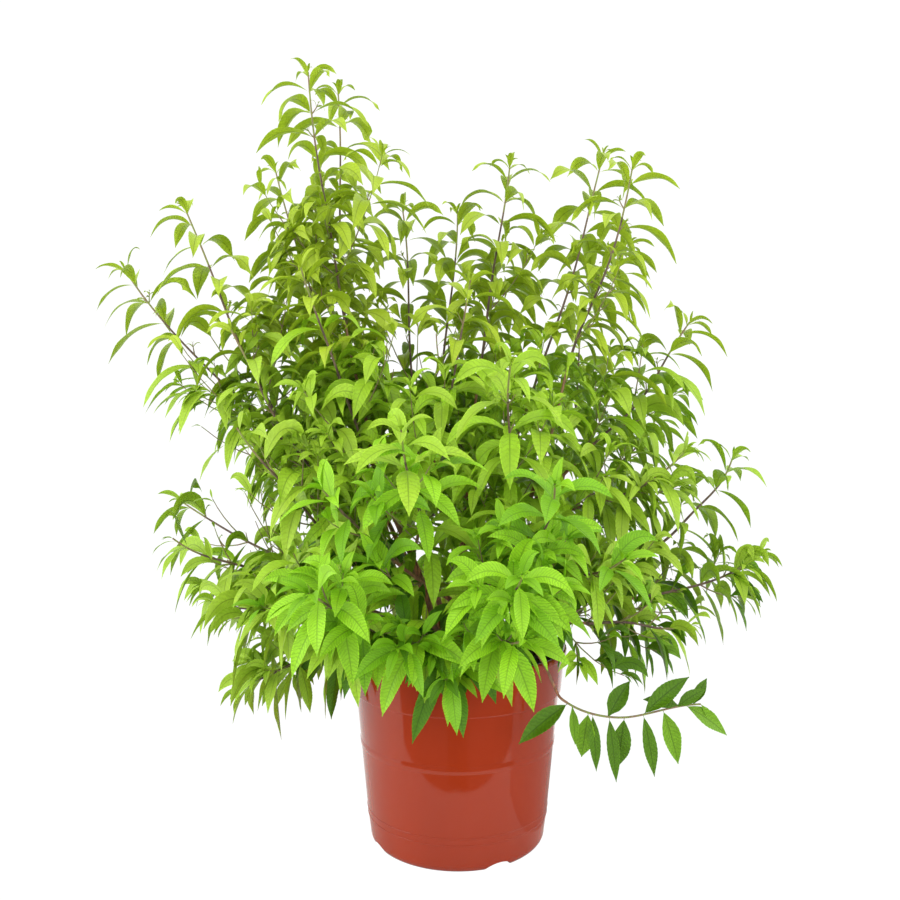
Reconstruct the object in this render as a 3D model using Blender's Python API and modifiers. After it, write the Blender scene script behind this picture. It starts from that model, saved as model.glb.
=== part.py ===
# A potted lemon verbena: a bushy young shrub of whippy, arching shoots in a round nursery pot.
# Metres, +Z up. The origin is the middle of the pot's flat underside, -Y is the plant's front
# and +X its right. Every stem and every shoot with its leaves is one solid of its own.

import copy
import math
import random

import bmesh
import bpy
from mathutils import Matrix, Vector

# Pot: a thin turned shell with a collar, two raised bands and four drainage arches.
POT_HEIGHT = 0.182
POT_WALL = 0.0018
POT_BASE_RADIUS = 0.0828
POT_TAPER = 0.100
POT_CORNER = 0.008
COLLAR_FOOT = 0.142
COLLAR_STEP = 0.0022
COLLAR_ROUND = 0.0010
RIM_BEAD = 0.0014
RIM_DEPTH = 0.006
BEAD_ROUND = 0.0015
LOW_BAND = (0.0260, 0.0326)
MIDDLE_BAND = (0.0912, 0.0978)
BAND_HEIGHT = 0.0005
BAND_SLOPE = 0.0012
TURN_STEPS = 30
CORNER_STEPS = 2

ARCH_COUNT = 4
ARCH_FIRST_DEG = -63.0
ARCH_HALF_WIDTH = 0.0135
ARCH_HEIGHT = 0.0068
ARCH_INNER_RADIUS = 0.058
ARCH_OVERRUN = 0.012
ARCH_SIDES = 12

OVERRUN = 0.004
SHARP_DEG = 38.0
SOIL_TOP = 0.165
CLEAR = 0.0003
UP = Vector((0.0, 0.0, 1.0))

# Wood: radii of the limbs, and how far the foot of a stem flares.
STEM_TIP_RADIUS = 0.0019
SHOOT_RADIUS = 0.0017
SHOOT_TIP_RADIUS = 0.0009
TWIG_RADIUS = 0.0011
TWIG_TIP_RADIUS = 0.0008
FLARE = 0.45
FLARE_HEIGHT = 0.012
STEM_KNOTS = 9
BOUGH_KNOTS = 7
SHOOT_KNOTS = 7
FIRST_STRETCH = 0.05
ROUND_STEPS = 1
BEND = 0.34
FLARE_KNOT = 0.35
TIP_FIT = 0.92
STEM_LIFT = 0.25
LEAST_FORK_DEG = 34.0
MOST_FORK_DEG = 78.0

# Leaves: narrow keeled blades in threes, bent over by their weight.
LEAF_LENGTH = 0.078
LEAF_SHAPE = 0.13
LEAF_THICKNESS = 0.0016
LEAF_WIDEST = 0.40
LEAF_ROOT = 0.0009
LEAF_DROOP = 1.6
LEAF_DROOP_POWER = 1.7
LEAF_CURL = 0.22
LEAF_STEPS = 10
LEAF_FACES_UP = 0.45
LEAF_OPEN_DEG = 60.0
NEARLY_UPRIGHT = 0.9
LEAF_TRIES = (1.0, 0.78, 0.6)
PROBE_SHARES = (0.2, 0.3, LEAF_WIDEST, 0.6, 0.8)
WHORL = 3
WHORL_SPACING = 0.0468
WHORL_WANDER = 0.2
LENGTH_SPREAD = (0.86, 1.08)
OPEN_SPREAD = (0.9, 1.2)
YOUNGEST_LEAF_SHARE = 0.74
LEAF_GROWTH_PER_WHORL = 0.13
BARE_FOOT_SHARE = 0.14
TIP_LEAVES = 4
TIP_LEAF_SHARE = 0.60
TIP_OPEN_DEG = 42.0
TIP_SPREAD = (0.8, 1.1)
TWIG_FIRST_WHORL = 3
TWIG_EVERY_WHORLS = 2
TWIG_LENGTH = 0.052
TWIG_OPEN_DEG = 48.0
TWIG_LIFT = 0.10
TWIG_LEAF_SHARE = 0.72
TWIG_LEAF_OPEN_DEG = 50.0
TWIG_SPREAD = (0.8, 1.2)
TWIG_LEAF_SPREAD = (0.9, 1.1)
ROOT_SUNK = 0.002
SPACE_MARGIN = 0.0012
LIMB_MARGIN = 0.0016
POT_MARGIN = 0.002

# The stems. Each has its foot on the soil, or its parent and how far along that it forks,
# then its tip and the radius of its foot.
STEMS = {
    "stem_left_tall": ((-0.018, 0.004), (-0.078, 0.012, 0.350), 0.0038),
    "stem_left": ((-0.032, -0.004), (-0.112, -0.004, 0.285), 0.0035),
    "stem_centre": ((0.003, 0.007), (0.012, 0.044, 0.350), 0.0038),
    "stem_right_tall": ((0.021, 0.000), (0.078, 0.004, 0.345), 0.0038),
    "stem_front": ((-0.006, -0.024), (-0.022, -0.082, 0.262), 0.0032),
    "stem_back": ((0.004, 0.032), (0.006, 0.112, 0.290), 0.0035),
    "stem_right_front": ((0.028, -0.020), (0.074, -0.074, 0.236), 0.0032),
    "bough_left_back": (("stem_left_tall", 0.30), (-0.088, 0.072, 0.330), 0.0028),
    "bough_left_low": (("stem_left", 0.26), (-0.116, 0.030, 0.222), 0.0027),
    "bough_left_front": (("stem_left", 0.20), (-0.086, -0.078, 0.232), 0.0027),
    "bough_right": (("stem_right_tall", 0.24), (0.134, 0.000, 0.240), 0.0028),
    "bough_front_right": (("stem_front", 0.30), (0.028, -0.104, 0.232), 0.0025),
    "bough_back_left": (("stem_back", 0.30), (-0.080, 0.116, 0.262), 0.0027),
    "bough_back_right": (("stem_back", 0.36), (0.086, 0.112, 0.270), 0.0027),
}

# The branch that hangs out over the rim at the right front, by the places it passes through.
DROOPING_ROUTE = (
    (0.047, -0.042, SOIL_TOP + CLEAR),
    (0.048, -0.043, SOIL_TOP + 0.008),
    (0.056, -0.052, 0.188),
    (0.067, -0.069, 0.194),
    (0.077, -0.084, 0.181),
    (0.0835, -0.0895, 0.167),
    (0.088, -0.0918, 0.1585),
    (0.094, -0.0925, 0.154),
)
DROOPING_RADIUS = 0.0014
DROOPING_TIP_RADIUS = 0.0011

# The foliage. Each mass grows along one shoot, which leaves its parent at a share of the
# parent's length (1 is its tip) and ends at its own tip. Lift turns the tip of the shoot up.
SHOOTS = {
    "foliage_left_spire": ("stem_left_tall", 1.00, (-0.147, 0.020, 0.740), 0.45),
    "foliage_left_inner": ("stem_left_tall", 0.72, (-0.143, -0.060, 0.540), 0.45),
    "foliage_left_spire_back": ("bough_left_back", 1.00, (-0.123, 0.066, 0.737), 0.45),
    "foliage_left_back_high": ("bough_left_back", 0.74, (-0.195, 0.104, 0.665), 0.40),
    "foliage_left_high": ("stem_left", 1.00, (-0.262, 0.000, 0.600), 0.35),
    "foliage_left_far": ("stem_left", 0.72, (-0.328, 0.020, 0.546), 0.30),
    "foliage_left_mid": ("stem_left", 0.86, (-0.206, -0.052, 0.480), 0.30),
    "foliage_left_low": ("bough_left_low", 1.00, (-0.271, -0.012, 0.285), 0.40),
    "foliage_left_low_back": ("bough_left_low", 0.78, (-0.292, 0.084, 0.312), 0.20),
    "foliage_left_skirt": ("bough_left_front", 1.00, (-0.213, -0.096, 0.242), 0.30),
    "foliage_left_hem": ("bough_left_front", 0.62, (-0.201, -0.046, 0.151), 0.00),
    "foliage_front_left": ("bough_left_front", 0.80, (-0.112, -0.212, 0.272), 0.10),
    "foliage_left_front_mid": ("stem_front", 0.84, (-0.112, -0.150, 0.346), 0.20),
    "foliage_left_front_high": ("stem_left", 0.60, (-0.188, -0.108, 0.392), 0.30),
    "foliage_front_high": ("stem_front", 1.00, (-0.044, -0.196, 0.392), 0.30),
    "foliage_front_hem": ("stem_front", 0.36, (-0.048, -0.172, 0.222), 0.05),
    "foliage_front_upper": ("stem_right_tall", 0.58, (0.042, -0.146, 0.446), 0.40),
    "foliage_centre": ("stem_left_tall", 0.52, (0.012, -0.030, 0.528), 0.50),
    "foliage_front_right": ("bough_front_right", 1.00, (0.045, -0.226, 0.288), 0.10),
    "foliage_front_right_hem": ("bough_front_right", 0.52, (0.050, -0.204, 0.236), 0.00),
    "foliage_front_right_high": ("stem_right_front", 0.66, (0.074, -0.178, 0.350), 0.30),
    "foliage_right_front": ("stem_right_front", 1.00, (0.134, -0.150, 0.288), 0.15),
    "foliage_right_skirt": ("stem_right_front", 0.78, (0.206, -0.074, 0.217), 0.10),
    "foliage_right_low": ("bough_right", 0.80, (0.286, -0.022, 0.272), 0.60),
    "foliage_right_far": ("bough_right", 1.00, (0.267, 0.004, 0.362), 0.80),
    "foliage_right_mid": ("stem_right_tall", 0.70, (0.208, -0.052, 0.371), 0.70),
    "foliage_right_high": ("stem_right_tall", 0.84, (0.230, 0.024, 0.494), 0.40),
    "foliage_right_spire": ("stem_right_tall", 1.00, (0.169, 0.000, 0.642), 0.40),
    "foliage_right_spire_back": ("stem_centre", 0.66, (0.151, 0.062, 0.671), 0.40),
    "foliage_centre_spire": ("stem_centre", 1.00, (0.054, 0.052, 0.657), 0.45),
    "foliage_centre_back": ("stem_centre", 0.80, (0.001, 0.118, 0.624), 0.45),
    "foliage_left_centre_back": ("stem_centre", 0.50, (-0.059, 0.120, 0.627), 0.45),
    "foliage_back_left_high": ("bough_back_left", 1.00, (-0.172, 0.214, 0.500), 0.35),
    "foliage_back_left_far": ("bough_back_left", 0.78, (-0.246, 0.160, 0.398), 0.25),
    "foliage_back_left_low": ("bough_back_left", 0.60, (-0.258, 0.150, 0.238), 0.25),
    "foliage_back_left": ("bough_back_left", 0.88, (-0.110, 0.262, 0.348), 0.20),
    "foliage_back_high": ("stem_back", 1.00, (-0.024, 0.244, 0.500), 0.35),
    "foliage_back": ("stem_back", 0.86, (0.044, 0.282, 0.372), 0.20),
    "foliage_back_hem": ("stem_back", 0.44, (-0.034, 0.238, 0.202), 0.00),
    "foliage_back_right_high": ("bough_back_right", 1.00, (0.150, 0.204, 0.520), 0.35),
    "foliage_back_right_far": ("bough_back_right", 0.80, (0.228, 0.166, 0.396), 0.25),
    "foliage_back_right_low": ("bough_back_right", 0.60, (0.237, 0.150, 0.202), 0.15),
    "foliage_drooping": ("bough_drooping", 1.00, (0.212, -0.084, 0.150), 0.15),
}

# Leaves of the drooping branch: share of the shoot, heading, length, half width over length.
DROOPING_LEAVES = (
    (0.01, (-0.85, -0.28, -0.46), 0.055, 0.15),
    (0.04, (0.08, -0.20, -1.00), 0.033, 0.13),
    (0.16, (-0.14, 0.10, -1.00), 0.042, 0.20),
    (0.19, (0.08, -0.10, -1.00), 0.050, 0.10),
    (0.31, (0.50, 0.05, 0.90), 0.036, 0.22),
    (0.32, (0.12, -0.15, -1.00), 0.056, 0.10),
    (0.45, (-0.12, 0.10, -1.00), 0.048, 0.18),
    (0.60, (0.22, -0.05, -1.00), 0.056, 0.11),
    (0.60, (0.70, -0.05, 0.72), 0.052, 0.15),
    (0.73, (0.34, -0.05, -1.00), 0.050, 0.16),
    (0.82, (0.75, -0.10, 0.62), 0.030, 0.18),
    (0.84, (-0.95, 0.05, 0.30), 0.032, 0.18),
    (0.88, (0.86, 0.05, -0.48), 0.048, 0.15),
    (0.94, (0.45, 0.10, 0.88), 0.026, 0.18),
    (1.00, (0.60, 0.30, -0.75), 0.034, 0.12),
)
DROOPING_FACE = (0.0, -0.8, 0.6)
DROOPING_DROOP = 0.25

# Finishes: name of the material, base colour, roughness.
POT_FINISH = ("pot plastic", (0.36, 0.036, 0.014, 1.0), 0.22)
SOIL_FINISH = ("compost", (0.030, 0.018, 0.012, 1.0), 0.95)
WOOD_FINISH = ("stem bark", (0.40, 0.20, 0.11, 1.0), 0.70)
LEAF_FINISH = ("foliage", (0.26, 0.48, 0.015, 1.0), 0.50)


def clear_scene():
    for obj in list(bpy.data.objects):
        bpy.data.objects.remove(obj)


def new_collection(name):
    collection = bpy.data.collections.new(name)
    bpy.context.scene.collection.children.link(collection)
    return collection


def new_material(name, colour, roughness):
    material = bpy.data.materials.new(name)
    material.use_nodes = True
    shader = material.node_tree.nodes["Principled BSDF"]
    shader.inputs["Base Color"].default_value = colour
    shader.inputs["Roughness"].default_value = roughness
    shader.inputs["Metallic"].default_value = 0.0
    material.diffuse_color = colour
    return material


def add_object(name, data, collection, material=None):
    obj = bpy.data.objects.new(name, data)
    collection.objects.link(obj)
    if material is not None:
        data.materials.append(material)
    return obj


def add_cutter(obj):
    obj.hide_render = True
    obj.display_type = "WIRE"
    return obj


# Pot and soil


def wall_radius(height):
    """The outside of the pot's wall below the collar."""
    return POT_BASE_RADIUS + POT_TAPER * height


def corner_arc(inset):
    """The rounded corner between wall and underside, from the wall down to the flat."""
    centre = Vector((POT_BASE_RADIUS - POT_CORNER, POT_CORNER))
    radius = POT_CORNER - inset
    turns = [step / CORNER_STEPS * math.pi / 2 for step in range(CORNER_STEPS + 1)]
    return [
        (centre.x + radius * math.cos(turn), centre.y - radius * math.sin(turn))
        for turn in turns
    ]


def raised_band(low, high):
    """A band's outline on the wall, top to bottom."""
    return [
        (wall_radius(high), high),
        (wall_radius(high - BAND_SLOPE) + BAND_HEIGHT, high - BAND_SLOPE),
        (wall_radius(low + BAND_SLOPE) + BAND_HEIGHT, low + BAND_SLOPE),
        (wall_radius(low), low),
    ]


def envelope_profile():
    """The outside of the pot, top to bottom, closed to the axis at both ends."""
    rim = wall_radius(POT_HEIGHT) + COLLAR_STEP
    bead_foot = POT_HEIGHT - RIM_DEPTH
    collar = wall_radius(COLLAR_FOOT) + COLLAR_STEP
    return [
        (0.0, POT_HEIGHT),
        (rim, POT_HEIGHT),
        (rim + RIM_BEAD, POT_HEIGHT - BEAD_ROUND),
        (rim + RIM_BEAD, bead_foot + BEAD_ROUND),
        (wall_radius(bead_foot) + COLLAR_STEP, bead_foot),
        (collar, COLLAR_FOOT + COLLAR_ROUND),
        (collar - COLLAR_ROUND, COLLAR_FOOT),
        (wall_radius(COLLAR_FOOT), COLLAR_FOOT),
        *raised_band(*MIDDLE_BAND),
        *raised_band(*LOW_BAND),
        *corner_arc(0.0),
        (0.0, 0.0),
    ]


def inside_profile(inset, top):
    """The inside of the pot, or the compost that fills it to a height, drawn in by an inset."""
    depth = POT_WALL + inset
    ledge = COLLAR_FOOT + POT_WALL + inset
    return [
        (0.0, top),
        (wall_radius(top) + COLLAR_STEP - depth, top),
        (wall_radius(ledge) + COLLAR_STEP - depth, ledge),
        (wall_radius(ledge) - depth, ledge - POT_WALL),
        *corner_arc(depth),
        (0.0, depth),
    ]


def turned(name, profile, collection):
    """A solid of revolution about Z from a profile of (radius, height)."""
    mesh = bpy.data.meshes.new(name)
    places = [(radius, 0.0, height) for radius, height in profile]
    mesh.from_pydata(places, [(i, i + 1) for i in range(len(places) - 1)], [])
    obj = add_object(name, mesh, collection)
    screw = obj.modifiers.new("turn", "SCREW")
    screw.steps = TURN_STEPS
    screw.render_steps = TURN_STEPS
    screw.use_merge_vertices = True
    screw.merge_threshold = 0.00005
    return obj


def arches(name, extra, collection):
    """The drainage arches as solid plugs, each side grown by extra."""
    for index in range(ARCH_COUNT):
        turn = math.radians(ARCH_FIRST_DEG - 90.0 + index * 360.0 / ARCH_COUNT)
        inner = ARCH_INNER_RADIUS - extra
        length = POT_BASE_RADIUS + ARCH_OVERRUN - inner
        mesh = bpy.data.meshes.new(name)
        shape = bmesh.new()
        bmesh.ops.create_cone(
            shape, cap_ends=True, segments=ARCH_SIDES, radius1=1.0, radius2=1.0, depth=length
        )
        bmesh.ops.scale(
            shape, vec=(ARCH_HEIGHT + extra, ARCH_HALF_WIDTH + extra, 1.0), verts=shape.verts
        )
        shape.to_mesh(mesh)
        shape.free()
        plug = add_cutter(add_object(f"{name}_{index}", mesh, collection))
        across = Matrix.Rotation(math.pi / 2, 4, "Y")
        out = Matrix.Translation((inner + length / 2, 0.0, 0.0))
        plug.matrix_world = Matrix.Rotation(turn, 4, "Z") @ out @ across


def cut(obj, operand_name, operand, kind):
    modifier = obj.modifiers.new(operand_name, "BOOLEAN")
    modifier.operation = "DIFFERENCE"
    modifier.operand_type = kind
    if kind == "OBJECT":
        modifier.object = operand
    else:
        modifier.collection = operand
    return modifier


def apply_modifiers(obj):
    """The object's evaluated mesh becomes its own."""
    bpy.context.view_layer.update()
    graph = bpy.context.evaluated_depsgraph_get()
    mesh = bpy.data.meshes.new_from_object(obj.evaluated_get(graph))
    obj.modifiers.clear()
    obj.data = mesh
    return obj


def shade_round(obj):
    obj.data.shade_smooth()
    obj.data.set_sharp_from_angle(angle=math.radians(SHARP_DEG))


def make_pot_and_soil(parts, cutters, pot_material, soil_material):
    arch_gap = new_collection("arch openings")
    arch_roof = new_collection("arch roofs")
    arch_room = new_collection("room for the arch roofs")
    arches("arch_opening", 0.0, arch_gap)
    arches("arch_roof", POT_WALL, arch_roof)
    arches("arch_room", POT_WALL + CLEAR, arch_room)

    cavity = turned("pot_cavity", inside_profile(0.0, POT_HEIGHT + OVERRUN), cutters)
    cut(cavity, "roofs", arch_roof, "COLLECTION")
    add_cutter(apply_modifiers(cavity))

    pot = turned("pot", envelope_profile(), parts)
    cut(pot, "cavity", cavity, "OBJECT")
    cut(pot, "arches", arch_gap, "COLLECTION")
    apply_modifiers(pot)
    pot.data.materials.append(pot_material)
    shade_round(pot)

    soil = turned("soil", inside_profile(CLEAR, SOIL_TOP), parts)
    cut(soil, "roofs", arch_room, "COLLECTION")
    apply_modifiers(soil)
    soil.data.materials.append(soil_material)
    shade_round(soil)


# Limbs


def bezier(knots, share):
    a, b, c, d = knots
    rest = 1.0 - share
    return rest**3 * a + 3 * rest**2 * share * b + 3 * rest * share**2 * c + share**3 * d


def through(places, share):
    """A smooth curve through given places."""
    at = share * (len(places) - 1)
    index = min(int(at), len(places) - 2)
    before = places[max(index - 1, 0)]
    a, b = places[index], places[index + 1]
    after = places[min(index + 2, len(places) - 1)]
    t = at - index
    return 0.5 * (
        2 * a
        + (b - before) * t
        + (2 * before - 5 * a + 4 * b - after) * t**2
        + (3 * a - 3 * b + after - before) * t**3
    )


def even_shares(count, first):
    """Shares of a limb's length for its knots, with a short first stretch."""
    return [0.0] + [first + (1.0 - first) * step / (count - 2) for step in range(count - 1)]


class Limb:
    """A tapering limb along a line of knots, each at a share of its length."""

    def __init__(self, name, shares, line, foot_radius, tip_radius, flare=0.0, parent=None):
        self.name = name
        self.parent = parent
        self.shares = shares
        self.line = line
        self.foot_radius = foot_radius
        self.tip_radius = tip_radius
        self.length = sum((b - a).length for a, b in zip(line, line[1:]))
        self.radii = [
            (foot_radius + (tip_radius - foot_radius) * share)
            * (1.0 + flare * math.exp(-share * self.length / FLARE_HEIGHT))
            for share in shares
        ]

    def stretch(self, share):
        """The stretch of the line that a share falls in, and how far along it."""
        index = max(i for i, low in enumerate(self.shares[:-1]) if low <= max(share, 0.0))
        low, high = self.shares[index : index + 2]
        return index, (share - low) / (high - low)

    def place(self, share):
        index, along = self.stretch(share)
        return self.line[index].lerp(self.line[index + 1], along)

    def heading(self, share):
        index, _ = self.stretch(share)
        return (self.line[index + 1] - self.line[index]).normalized()

    def radius(self, share):
        index, along = self.stretch(share)
        return self.radii[index] + (self.radii[index + 1] - self.radii[index]) * along


def soil_stem(name, foot, tip, radius):
    """A stem that stands on the soil: straight up at its foot, then out to its tip."""
    start = Vector((*foot, SOIL_TOP + CLEAR))
    end = Vector(tip)
    reach = (end - start).length
    arrive = ((end - start).normalized() + STEM_LIFT * UP).normalized()
    knots = (start, start + BEND * reach * UP, end - BEND * reach * arrive, end)
    shares = [0.0] + even_shares(STEM_KNOTS - 1, FLARE_HEIGHT / reach)[1:]
    shares.insert(1, FLARE_KNOT * FLARE_HEIGHT / reach)
    line = [bezier(knots, share) for share in shares]
    return Limb(name, shares, line, radius, STEM_TIP_RADIUS, FLARE)


def forked_limb(name, parent, share, tip, radius, tip_radius, lift, count):
    """A limb that goes on from its parent's tip, or forks from its axis and is cut clear of it."""
    end = Vector(tip)
    joint, axis = parent.place(share), parent.heading(share)
    chord = (end - joint).normalized()
    if share >= 1.0:
        radius = min(radius, parent.tip_radius * TIP_FIT)
        heading = axis
        start = joint + CLEAR * axis
        parent = None
    else:
        sideways = (chord - chord.dot(axis) * axis).normalized()
        fork = math.acos(max(-1.0, min(1.0, chord.dot(axis))))
        fork = min(max(fork, math.radians(LEAST_FORK_DEG)), math.radians(MOST_FORK_DEG))
        heading = math.cos(fork) * axis + math.sin(fork) * sideways
        start = joint
    reach = (end - start).length
    arrive = (chord + lift * UP).normalized()
    knots = (start, start + BEND * reach * heading, end - BEND * reach * arrive, end)
    shares = even_shares(count, FIRST_STRETCH)
    line = [bezier(knots, s) for s in shares]
    return Limb(name, shares, line, radius, tip_radius, parent=parent)


def routed_limb(name, places, radius, tip_radius, count):
    """A limb through given places, as the branch that bends over the rim."""
    places = [Vector(place) for place in places]
    shares = even_shares(count, FIRST_STRETCH)
    return Limb(name, shares, [through(places, s) for s in shares], radius, tip_radius)


def limb_object(limb, section, collection):
    """The limb as a curve that tapers by its knots' radii: three-sided, or else round."""
    curve = bpy.data.curves.new(limb.name, "CURVE")
    curve.dimensions = "3D"
    curve.use_fill_caps = True
    if section is None:
        curve.bevel_depth = 1.0
        curve.bevel_resolution = ROUND_STEPS
    else:
        curve.bevel_mode = "OBJECT"
        curve.bevel_object = section
    spline = curve.splines.new("POLY")
    spline.points.add(len(limb.line) - 1)
    for knot, place, radius in zip(spline.points, limb.line, limb.radii):
        knot.co = (*place, 1.0)
        knot.radius = radius
    return add_object(limb.name, curve, collection)


def cut_clear(body, limb, cutters):
    """Cuts a forked limb off where it would enter its parent, a hair outside it."""
    if limb.parent is None:
        return
    name = f"room for {limb.parent.name}"
    if name not in cutters.objects:
        room = copy.copy(limb.parent)
        room.name = name
        room.radii = [radius + CLEAR for radius in room.radii]
        add_cutter(as_mesh(limb_object(room, None, cutters)))
    cut(body, "fork", cutters.objects[name], "OBJECT").solver = "MANIFOLD"


def three_sided_section(collection):
    """A triangle of radius 1 that the shoots and twigs take their section from."""
    curve = bpy.data.curves.new("three_sided_section", "CURVE")
    curve.dimensions = "2D"
    spline = curve.splines.new("POLY")
    spline.points.add(2)
    for index, knot in enumerate(spline.points):
        turn = index * math.tau / 3
        knot.co = (math.cos(turn), math.sin(turn), 0.0, 1.0)
    spline.use_cyclic_u = True
    return add_cutter(add_object("three_sided_section", curve, collection))


def as_mesh(obj):
    """A curve object made a mesh object, its caps welded to its sides."""
    bpy.context.view_layer.update()
    graph = bpy.context.evaluated_depsgraph_get()
    mesh = bpy.data.meshes.new_from_object(obj.evaluated_get(graph))
    shape = bmesh.new()
    shape.from_mesh(mesh)
    bmesh.ops.remove_doubles(shape, verts=shape.verts, dist=0.00001)
    bmesh.ops.recalc_face_normals(shape, faces=shape.faces)
    shape.to_mesh(mesh)
    shape.free()
    name, place, owner = obj.name, obj.matrix_world.copy(), obj.users_collection[0]
    bpy.data.objects.remove(obj)
    made = add_object(name, mesh, owner)
    made.matrix_world = place
    return made


# Leaves


class Blade:
    """A leaf's place: its middle line bends down from its heading, and its face looks up."""

    def __init__(self, root, heading, face, length, shape=LEAF_SHAPE, bend=LEAF_DROOP):
        self.length = length
        self.half_width = shape * length
        self.places = [root]
        self.headings = [heading]
        for step in range(LEAF_STEPS):
            share = (step + 0.5) / LEAF_STEPS
            droop = bend * share**LEAF_DROOP_POWER
            self.headings.append((heading - droop * UP - LEAF_CURL * share * face).normalized())
            self.places.append(self.places[-1] + length / LEAF_STEPS * self.headings[-1])
        self.faces = [(face - face.dot(way) * way).normalized() for way in self.headings]

    def at(self, share):
        index = round(share * LEAF_STEPS)
        return self.places[index], self.headings[index], self.faces[index]

    def section(self, share, half_width, thickness):
        """Three corners: both edges and the keel."""
        place, heading, face = self.at(share)
        side = heading.cross(face)
        return [
            place - half_width * side,
            place + half_width * side,
            place - thickness * face,
        ]

    def corners(self):
        """The upright edge of the root, the widest section and the tip."""
        place, _, face = self.at(0.0)
        root = [place + 0.5 * LEAF_ROOT * face, place - 0.5 * LEAF_ROOT * face]
        middle = self.section(LEAF_WIDEST, self.half_width, LEAF_THICKNESS)
        return root + middle + [self.places[-1]]

    def probes(self):
        """Points on the blade that stand for it where its space is tested."""
        points = []
        for share in PROBE_SHARES:
            full = min(share / LEAF_WIDEST, (1.0 - share) / (1.0 - LEAF_WIDEST))
            points += self.section(share, self.half_width * full, LEAF_THICKNESS)
        return points + [self.places[-1]]


def blade_mesh(name, blade):
    """The blade as eight faces lofted from the root's edge, by the widest section, to the tip."""
    top, keel, left, right, widest_keel, tip = range(6)
    faces = [
        (top, left, right),
        (top, keel, left),
        (top, right, keel),
        (keel, widest_keel, left),
        (keel, right, widest_keel),
        (left, widest_keel, tip),
        (widest_keel, right, tip),
        (right, left, tip),
    ]
    mesh = bpy.data.meshes.new(name)
    mesh.from_pydata(blade.corners(), [], faces)
    shape = bmesh.new()
    shape.from_mesh(mesh)
    bmesh.ops.recalc_face_normals(shape, faces=shape.faces)
    shape.to_mesh(mesh)
    shape.free()
    return mesh


def leaf_blade(root, axis, turn, opening, length):
    """A blade that leaves a twig at a turn about its axis and an opening from its heading."""
    side = axis.cross(Vector((0.0, 1.0, 0.0)) if abs(axis.z) > NEARLY_UPRIGHT else UP)
    outward = Matrix.Rotation(turn, 3, axis) @ side.normalized()
    heading = (math.cos(opening) * axis + math.sin(opening) * outward).normalized()
    face = (1.0 - LEAF_FACES_UP) * axis + LEAF_FACES_UP * UP
    face = (face - face.dot(heading) * heading).normalized()
    return Blade(root, heading, face, length)


# Spaces


def distance_to_line(point, line):
    """How far a point lies from a line of places."""
    gaps = []
    for a, b in zip(line, line[1:]):
        along = b - a
        share = max(0.0, min(1.0, (point - a).dot(along) / along.length_squared))
        gaps.append((point - a - share * along).length)
    return min(gaps)


class Garden:
    """The limbs and shoots already laid out, which tell whose space a point is in."""

    def __init__(self):
        self.limbs = {}
        self.shoots = {}

    def in_pot(self, point):
        """True in the pot's wall or compost, or too near either."""
        out = math.hypot(point.x, point.y)
        if point.z > POT_HEIGHT + POT_MARGIN:
            return False
        if out > wall_radius(point.z) + COLLAR_STEP + RIM_BEAD + POT_MARGIN:
            return False
        inside = wall_radius(point.z) - POT_WALL - POT_MARGIN
        return out > inside or point.z < SOIL_TOP + POT_MARGIN

    def keeps(self, owner, points):
        """True where all the points lie in the owner's space and clear of every limb."""
        for point in points:
            if self.in_pot(point):
                return False
            for limb in self.limbs.values():
                if distance_to_line(point, limb.line) < limb.foot_radius + LIMB_MARGIN:
                    return False
            own = distance_to_line(point, self.shoots[owner].line)
            for name, shoot in self.shoots.items():
                if name != owner and distance_to_line(point, shoot.line) < own + SPACE_MARGIN:
                    return False
        return True


# Foliage


def try_leaf(garden, owner, root, axis, turn, opening, length):
    """The blade, or a shorter one, that fits in the owner's space, or None."""
    for share in LEAF_TRIES:
        blade = leaf_blade(root, axis, turn, opening, length * share)
        if garden.keeps(owner, blade.probes()):
            return blade
    return None


def whorl(garden, owner, root, axis, turn, count, opening, lengths):
    """The blades that fit, of a ring of them about a twig."""
    tries = [
        try_leaf(garden, owner, root, axis, turn + index * math.tau / count, opening, length)
        for index, length in enumerate(lengths)
    ]
    return [blade for blade in tries if blade]


def grow_mass(garden, shoot, rule):
    """The twigs and blades of one mass, by the seeded rule."""
    turn = rule.uniform(0.0, math.tau)
    tip, axis = shoot.place(1.0), shoot.heading(1.0)
    lengths = [LEAF_LENGTH * TIP_LEAF_SHARE * rule.uniform(*TIP_SPREAD) for _ in range(TIP_LEAVES)]
    blades = whorl(
        garden, shoot.name, tip - ROOT_SUNK * axis, axis, turn, TIP_LEAVES,
        math.radians(TIP_OPEN_DEG), lengths,
    )
    twigs = []
    nodes = int(shoot.length * (1.0 - BARE_FOOT_SHARE) / WHORL_SPACING)
    for node in range(1, nodes + 1):
        share = 1.0 - node * WHORL_SPACING / shoot.length
        place, axis = shoot.place(share), shoot.heading(share)
        turn += math.pi / WHORL + rule.uniform(-WHORL_WANDER, WHORL_WANDER)
        grown = min(1.0, YOUNGEST_LEAF_SHARE + LEAF_GROWTH_PER_WHORL * node)
        lengths = [LEAF_LENGTH * grown * rule.uniform(*LENGTH_SPREAD) for _ in range(WHORL)]
        opening = math.radians(LEAF_OPEN_DEG) * rule.uniform(*OPEN_SPREAD)
        blades += whorl(garden, shoot.name, place, axis, turn, WHORL, opening, lengths)
        if node >= TWIG_FIRST_WHORL and (node - TWIG_FIRST_WHORL) % TWIG_EVERY_WHORLS == 0:
            twig, on_twig = grow_twig(garden, shoot, place, axis, turn + math.pi / WHORL, rule)
            if on_twig:
                twigs.append(twig)
                blades += on_twig
    return twigs, blades


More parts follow.
